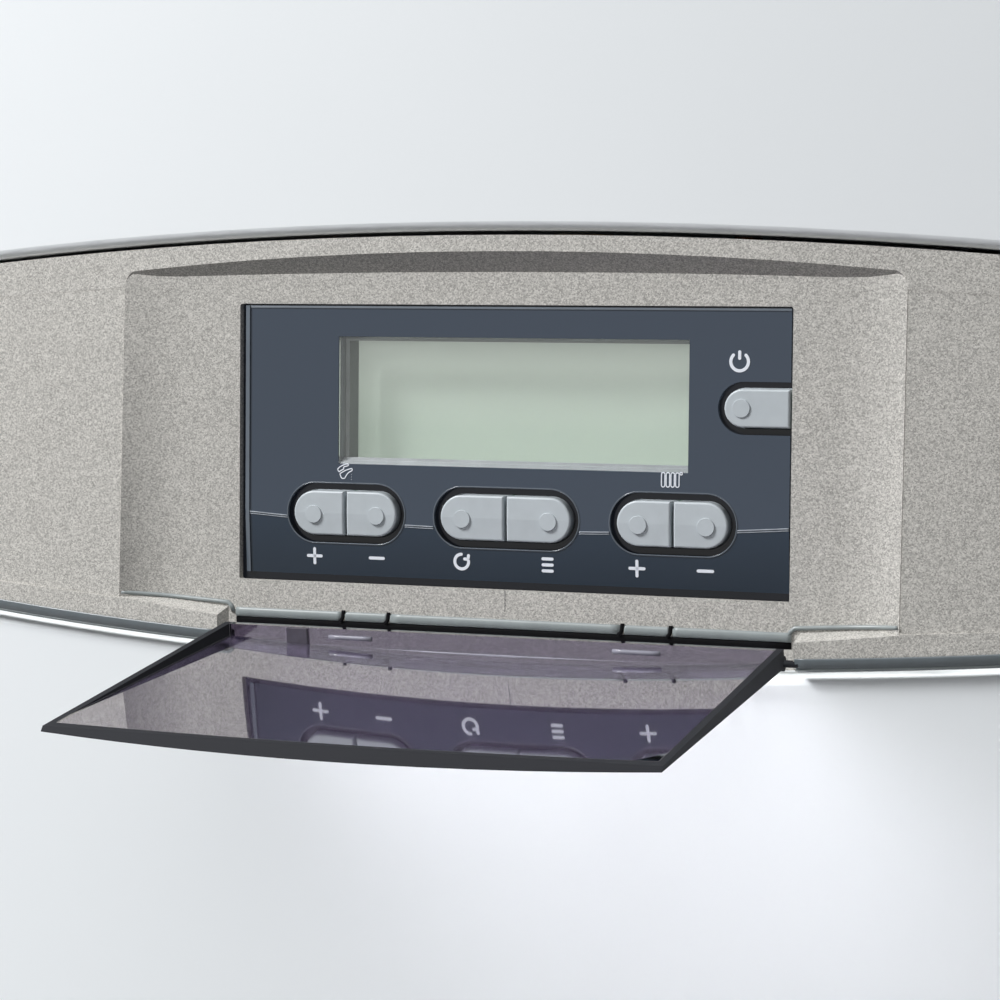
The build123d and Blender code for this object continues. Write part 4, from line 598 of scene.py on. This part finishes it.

# crease, edges and pocket rims of the panel, in lighter colours that paint their highlights
trimSettings = {
    "pairs": ((-0.0493, 0.01605), (0.0, 0.0196), (0.0493, 0.01605)),    # middle and half length of each pair
    "keyHalf": 0.00635,
    "groove": 0.0024,
    "rim": 0.00022,          # radius of the bead round a pocket
    "beads": ((0.0, 0.00020), (-0.00055, 0.00014)),    # the crease's two: height over the bend, and radius
    "left": -0.0814,
    "right": 0.0824,
    "top": 0.0396,
    "foot": -0.0379,
    "sideWidth": 0.0014,     # chamfer down the left side
    "sideRise": 0.00040,
    "topWidth": 0.0006,
    "topRise": 0.00020,
    "sunk": 0.0003,          # depth of the chamfers' undersides in the panel
}


def addCrease(settings):
    # two beads of painted highlight that follow the bend from pocket to pocket
    pairs, groove = settings["pairs"], settings["groove"]
    starts = [settings["left"] + settings["sideWidth"]] + [middle + half + groove for middle, half in pairs]
    ends = [middle - half - groove for middle, half in pairs] + [settings["right"]]
    grids = []
    for start, end in zip(starts, ends):
        x = np.linspace(start, end, 24)
        for over, radius in settings["beads"]:
            path = onPanel(x, creaseHeight(x) + over, 0.0)
            grids.append(carried(path, sideways(path), roundProfile(radius)))
    addPiece("panel_crease_highlight", grids, materials["crease_highlight"], "casing", smooth=True)


def addPocketRims(settings):
    # a bead round each pocket, a real rounded rim in a lighter colour that paints its highlight: two half
    # circles joined by straight runs, offset by the groove
    grids = []
    radius = settings["keyHalf"] + settings["groove"]
    row = bandZ - panelSettings["keyLine"]
    for middle, half in settings["pairs"]:
        flat = half - settings["keyHalf"]
        rim = np.concatenate([arc((middle + flat, row), radius, -90, 90),
                              arc((middle - flat, row), radius, 90, 270)])
        path = onPanel(rim[:, 0], rim[:, 1], 0.0)
        away = np.stack([rim[:, 0] - np.clip(rim[:, 0], middle - flat, middle + flat), 0 * rim[:, 0],
                         rim[:, 1] - row], axis=1)
        away /= np.linalg.norm(away, axis=1, keepdims=True)
        grids.append(carried(path, away, roundProfile(settings["rim"]), closed=True))
    addPiece("panel_pocket_rims", grids, materials["panel_edge_highlight"], "casing", smooth=True)


def addPanelEdges(settings, count=30):
    # wedges that slope away from the panel's left side and from its top: real chamfers, in a lighter colour
    # that paints their highlight
    left, right, sunk = settings["left"], settings["right"], settings["sunk"]
    top, foot = bandZ + settings["top"], bandZ + settings["foot"]
    side = onPanel(left, np.linspace(foot, top, count), 0.0)
    edge = onPanel(np.linspace(left + settings["sideWidth"], right, count), top, 0.0)
    grids = []
    for path, inwards, name in ((side, (1, 0, 0), "side"), (edge, (0, 0, -1), "top")):
        wide, high = settings[name + "Width"], settings[name + "Rise"]
        wedge = [(0, -sunk), (wide, -sunk), (wide, high), (0, 0)]
        grids.append(carried(path, np.tile(inwards, (count, 1)), wedge))
    addPiece("panel_edges", grids, materials["panel_edge_highlight"], "casing")


addCrease(trimSettings)
addPocketRims(trimSettings)
addPanelEdges(trimSettings)
print("stage: panel trim")

# bevelled frame between the window and the display
frameSettings = {
    "window": (-0.0518, 0.0536, -0.0057, 0.0309),    # left, right, foot and top from the panel's middle
    "inset": (0.0006, 0.0007, 0.0019, 0.0006),       # how far the bevel reaches in, in the same order
    "near": 0.00130,                                 # depths behind the face
    "middle": 0.00250,
    "far": 0.00335,
    "step": 0.55,                                    # share of the inset in the first slope
    "lips": (0.0004, 0.0002),                        # depth of the ledge after each slope
}


def addDisplayFrame(settings):
    # a profile carried round the window's four corners: two slopes that step in towards the glass
    left, right, foot, top = settings["window"]
    inLeft, inRight, inFoot, inTop = settings["inset"]
    near, middle, far, step = (settings[k] for k in ("near", "middle", "far", "step"))
    first, second = settings["lips"]
    profile = ((0, near), (step, middle - first), (step, middle), (1, far - second), (1, far), (0, far))
    rows = []
    for x, z, inX, inZ in ((left, foot, inLeft, inFoot), (right, foot, -inRight, inFoot),
                           (right, top, -inRight, -inTop), (left, top, inLeft, -inTop),
                           (left, foot, inLeft, inFoot)):
        rows.append([(x + share * inX, faceY + depth, bandZ + z + share * inZ) for share, depth in profile])
    addPiece("display_frame", [np.array(rows)], materials["display_frame"], "casing")


addDisplayFrame(frameSettings)
print("stage: display frame")

# rolled edge and moulding mark of the fascia; the roll's darker colour and the black beads are painted shade
rollSettings = {
    "foot": 0.0497,          # middle of the roll under the panel's middle
    "high": 0.00135,         # half height and half depth of the roll
    "deep": 0.0007,
    "ends": 0.0838,
    "slits": (-0.04945, -0.03535, 0.03535, 0.04945),
    "slit": 0.0012,          # width of a slit
}
sideRollSettings = {
    # each side's sign, the strip's end, the end of the flat floor, the corner, and the scoop's rise
    "runs": ((-1, 0.0866, 0.1018, 0.1193, 0.0047), (1, 0.0847, 0.0968, 0.1143, 0.0053)),
    "scoop": 0.0180,         # width of a scoop
    "foot": 0.0471,
    "climb": 0.0019,         # rise from the strip's end to the corner
    "radius": 0.00065,
    "joint": ((0.0018, 0.0), (0.0012, 0.0016)),      # short of the strip's end, and over the roll's middle
}
shadeSettings = {
    "line": (0.0520, 0.00095, 0.0002),               # painted shadow line under the roll: place, half height and depth
    "over": 0.0004,          # a slit's painted shade starts this far over the roll
    "fall": 0.0033,
    "swing": 0.0011,         # how far its foot stands to the left
    "deep": 0.0004,
}
markSettings = {
    "place": 0.00022,
    "reach": (-0.0402, -0.0462),
    "radius": 0.00009,
}


def levelRun(start, end, foot):
    # a straight path along the recess floor, so far below the panel's middle
    return np.linspace((start, floorY, bandZ - foot), (end, floorY, bandZ - foot), 24)


def addRolledEdge(settings):
    # an oval bead along the floor's lower edge, one for each stretch between the slits, a real roll coloured
    # darker as painted shade
    cuts = (-settings["ends"], *settings["slits"], settings["ends"])
    oval = roundProfile(1.0, 16) * (settings["high"], settings["deep"])
    grids = []
    for k in range(len(cuts) - 1):
        start = cuts[k] + (settings["slit"] / 2 if k else 0)
        end = cuts[k + 1] - (settings["slit"] / 2 if k < len(cuts) - 2 else 0)
        path = levelRun(start, end, settings["foot"])
        grids.append(carried(path, sideways(path), oval))
    addPiece("fascia_rolled_edge_shade", grids, materials["fascia_edge"], "casing", smooth=True)


def addSideRolls(settings):
    # the roll goes on, lower and thinner, along the foot of the recess out to its corners: each path runs
    # from the strip's end along the flat floor and then up the scoop, whose face is a parabola in X
    # the same darker colour as the roll, as painted shade
    grids = []
    for side, strip, flat, corner, rise in settings["runs"]:
        out = np.concatenate([np.linspace(strip, flat, 8)[:-1], np.linspace(flat, corner, 16)])
        share = np.clip((out - flat) / settings["scoop"], 0, 1)
        z = bandZ - settings["foot"] + settings["climb"] * (out - strip) / (corner - strip)
        joint = [(side * (strip - short), floorY, bandZ - rollSettings["foot"] + over)
                 for short, over in settings["joint"]]
        path = np.concatenate([joint, np.stack([side * out, floorY - rise * share ** 2, z], axis=1)])
        grids.append(carried(path, sideways(path), roundProfile(settings["radius"])))
    addPiece("fascia_side_roll_shade", grids, materials["fascia_edge"], "casing", smooth=True)


def addRollShades(roll, settings):
    # painted shade: the dark of each slit, a black bead down across the roll whose foot swings left as the
    # cube of its fall, and a painted shadow line under the roll
    grids = []
    fall = np.linspace(0, 1, 14)
    z = bandZ - roll["foot"] + roll["high"] + settings["over"] - fall * settings["fall"]
    y = np.full(14, floorY - settings["deep"])
    for x in roll["slits"]:
        path = np.stack([x - settings["swing"] * fall ** 3, y, z], axis=1)
        grids.append(carried(path, sideways(path), roundProfile(1.0) * (roll["slit"] / 2, settings["deep"])))
    low, high, deep = settings["line"]
    path = levelRun(-roll["ends"], roll["ends"], low)
    grids.append(carried(path, sideways(path), roundProfile(1.0) * (high, deep)))
    addPiece("fascia_roll_shades", grids, materials["hollow_black"], "casing", smooth=True)


def addMouldingMark(settings):
    # a thin upright bead on the recess floor
    path = np.array([(settings["place"], floorY, bandZ + z) for z in np.linspace(*settings["reach"], 8)])
    bead = carried(path, sideways(path), roundProfile(settings["radius"]))
    addPiece("fascia_moulding_mark", [bead], materials["grey_plastic"], "casing")


addRolledEdge(rollSettings)
addSideRolls(sideRollSettings)
addRollShades(rollSettings, shadeSettings)
addMouldingMark(markSettings)

# the band's lower edge is rounded: a dark skin of painted shade over that rounding, with a painted highlight
# line along it
edgeSettings = {
    "low": 0.0606,           # crown of the band's lower edge
    "radius": 1.750,
    "front": 0.00775,        # band's front ahead of the recess floor, at the panel's height
    "frontRadius": 1.720,
    "lean": 2.16,            # degrees
    "rounding": 0.0040,
    "turn": (2, 88),         # stretch of the rounding that the skin covers, in degrees from straight ahead
    "proud": 0.00015,
    "thick": 0.0006,
    "reaches": ((-0.1985, -0.0868), (0.0868, 0.1985)),
    "line": (52.0, 0.00028),     # the painted highlight line: its place round the rounding in the same degrees, and its radius
}


def roundTheEdge(radius, degrees):
    # points of a circle, from straight ahead round to straight down
    turn = np.radians(degrees)
    return np.stack([-radius * np.sin(turn), radius * np.cos(turn)], axis=-1)


def addBandEdge(settings):
    # a quarter ring of painted shade carried along the arc of the band's edge, which also lies on the arc of
    # its front
    inwards = settings["rounding"]
    outer = inwards + settings["proud"]
    turn = np.linspace(*settings["turn"], 16)
    skin = np.concatenate([roundTheEdge(outer, turn), roundTheEdge(outer - settings["thick"], turn)[::-1]])
    place, radius = settings["line"]
    line = roundProfile(radius, 10) + roundTheEdge(outer, place)
    skins, lines = [], []
    for start, end in settings["reaches"]:
        x = np.linspace(start, end, 40)
        edge = -settings["low"] + settings["radius"] - np.sqrt(settings["radius"] ** 2 - x ** 2)
        ahead = (settings["front"] - settings["frontRadius"] + np.sqrt(settings["frontRadius"] ** 2 - x ** 2)
                 - edge * math.tan(math.radians(settings["lean"])))
        path = np.stack([x, floorY - ahead + inwards, bandZ + edge + inwards], axis=1)
        skins.append(carried(path, sideways(path), skin))
        lines.append(carried(path, sideways(path), line))
    addPiece("fascia_lower_edge_shade", skins, materials["band_edge_shade"], "casing", smooth=True)
    addPiece("fascia_edge_highlight", lines, materials["fascia_edge"], "casing", smooth=True)


addBandEdge(edgeSettings)
print("stage: fascia edges")

# inside of the flap's rear wall
# places are those of the closed flap, from its hinge: X, behind it and above it; then opened by the swing
flapSettings = {
    "hinge": (0.0066, -0.0561),      # ahead of the floor, and from the panel's middle
    "swing": 99.4,
    "wallTop": 0.0021,               # inner side of the wall
    "ribs": (-0.0598,),
    "ribHalf": 0.0033,
    "ribThick": 0.0010,
    "ribSunk": 0.0001,               # the rib's foot in the wall
    "behind": (-0.0014, 0.0039),
    "brackets": ((-0.0500, -0.0368), (0.0355, 0.0492)),
    "bracketPlace": 0.0016,
    "bracketRadius": 0.0007,
    "seamHalf": 0.0812,
    "seamRadius": 0.00035,
    "rim": 0.1058,                   # hinge to the bar along the free edge, at the middle
    "rimRadius": 1.159,
    "sides": 0.0815,                 # inner faces of the side walls
    "blur": 0.0001,                  # width of the step from clear to black
    "dark": (0.012, 0.013, 0.017),
    "satin": 0.75,                   # what the black parts' roughness gains
}


def opened(points):
    # turns points about the hinge line by the swing, from closed to open
    angle = math.radians(flapSettings["swing"])
    y, z = points[..., 1], points[..., 2]
    ahead, low = flapSettings["hinge"]
    return np.stack([points[..., 0], floorY - ahead + y * math.cos(angle) - z * math.sin(angle),
                     bandZ + low + y * math.sin(angle) + z * math.cos(angle)], axis=-1)


def finishFlap(settings):
    # the bar along the free edge and the side walls are black, measured from the hinge along the plate
    tree = materials["smoked_flap"].node_tree
    shader = tree.nodes["Principled BSDF"]
    angle = math.radians(settings["swing"])
    ahead, low = settings["hinge"]
    rim, side, blur = (settings[k] for k in ("rim", "sides", "blur"))
    away = reckon(tree, "SUBTRACT", tree.nodes["places"].outputs["Object"],
                  (0, floorY - ahead, bandZ + low), kind="VectorMath")
    out = reckon(tree, "DOT_PRODUCT", away, (0, -math.sin(angle), math.cos(angle)),
                 kind="VectorMath", result="Value")
    across = parted(tree, away)["X"]
    square = reckon(tree, "MULTIPLY", across, across)
    bowed = reckon(tree, "MULTIPLY_ADD", square, 1 / (2 * settings["rimRadius"]), out)
    black = reckon(tree, "MAXIMUM", mapped(tree, bowed, rim, rim + blur),
                   mapped(tree, square, side ** 2, (side + blur) ** 2))
    for socket in ("Transmission Weight", "Coat Weight"):
        tree.links.new(mapped(tree, black, 0.0, 1.0, 1.0, 0.0), shader.inputs[socket])
    polished = shader.inputs["Roughness"].links[0].from_socket
    rough = reckon(tree, "MULTIPLY_ADD", black, settings["satin"], polished)
    tree.links.new(rough, shader.inputs["Roughness"])
    clear = shader.inputs["Base Color"].links[0].from_socket
    tree.links.new(mixed(tree, black, clear, settings["dark"]), shader.inputs["Base Color"])


def bar(start, end, radius, count=10):
    # a round bar between two points that differ in X
    path = np.linspace(start, end, 6)
    ring = np.insert(roundProfile(radius, count), 0, 0, axis=1)
    return capped(path[:, None] + ring)


def slab(x, y, z):
    # a block whose upper edges are cut by a fifth of its thickness
    cut = (z[1] - z[0]) / 5
    rows = []
    for place, inset in ((x[0], cut), (x[0] + cut, 0), (x[1] - cut, 0), (x[1], cut)):
        rows.append([(place, y[0], z[0]), (place, y[1], z[0]), (place, y[1] - inset, z[1] - inset),
                     (place, y[0] + inset, z[1] - inset)])
    return capped(np.array(rows))


def addFlapDetails(settings):
    # the rib, the hinge's two brackets and the seam, all on the inside of the wall
    wall, half = settings["wallTop"], settings["ribHalf"]
    thick = (wall - settings["ribSunk"], wall + settings["ribThick"])
    ribs = [slab((x - half, x + half), settings["behind"], thick) for x in settings["ribs"]]
    place, radius = settings["bracketPlace"], settings["bracketRadius"]
    brackets = [bar((start, place, wall), (end, place, wall), radius) for start, end in settings["brackets"]]
    low, end = settings["behind"][0], settings["seamHalf"]
    seam = bar((-end, low, wall), (end, low, wall), settings["seamRadius"])
    for name, parts, finish, smooth in (("flap_ribs", ribs, "flap_rib", False),
                                        ("flap_brackets", brackets, "flap_bracket", True),
                                        ("flap_seam", [seam], "flap_bracket", True)):
        grids = [opened(one) for one in parts]
        addPiece(name, grids, materials[finish], "flap", smooth=smooth)


finishFlap(flapSettings)
addFlapDetails(flapSettings)
print("stage: flap details")

# floor
floorSettings = {
    "half": 4.0,
    "gap": 0.02,                     # below the part's lowest point
    "seen": (0.82, 0.83, 0.84),      # its colour to the camera
    "lit": (0.12, 0.12, 0.125),      # and for the light that it throws back
    "rough": 0.8,
    "fade": (0.5, 1.5),              # distances between which it fades into the background
}


def addFloor(settings):
    # a flat square that fades out by distance and isn't there when it is seen from below
    low = cadBox[0][2] - settings["gap"]
    half = settings["half"]
    mesh = bpy.data.meshes.new("floor")
    mesh.from_pydata([(-half, -half, low), (half, -half, low), (half, half, low), (-half, half, low)], [],
                     [(0, 1, 2, 3)])
    floor = bpy.data.objects.new("floor", mesh)
    scene.collection.objects.link(floor)
    paint = bpy.data.materials.new("floor")
    paint.use_nodes = True
    tree = paint.node_tree
    shader = tree.nodes["Principled BSDF"]
    shade = mixed(tree, seenMask(tree), settings["lit"], settings["seen"])
    tree.links.new(shade, shader.inputs["Base Color"])
    shader.inputs["Roughness"].default_value = settings["rough"]
    places = tree.nodes.new("ShaderNodeTexCoord")
    flat = reckon(tree, "MULTIPLY", places.outputs["Object"], (1, 1, 0), kind="VectorMath")
    away = reckon(tree, "LENGTH", flat, kind="VectorMath", result="Value")
    under = tree.nodes.new("ShaderNodeNewGeometry").outputs["Backfacing"]
    gone = reckon(tree, "MAXIMUM", mapped(tree, away, *settings["fade"]), under)
    clear = tree.nodes.new("ShaderNodeBsdfTransparent")
    ends = shader.outputs["BSDF"], clear.outputs["BSDF"]
    tree.links.new(blended(tree, gone, *ends), tree.nodes["Material Output"].inputs["Surface"])
    mesh.materials.append(paint)


addFloor(floorSettings)
print("stage: floor")
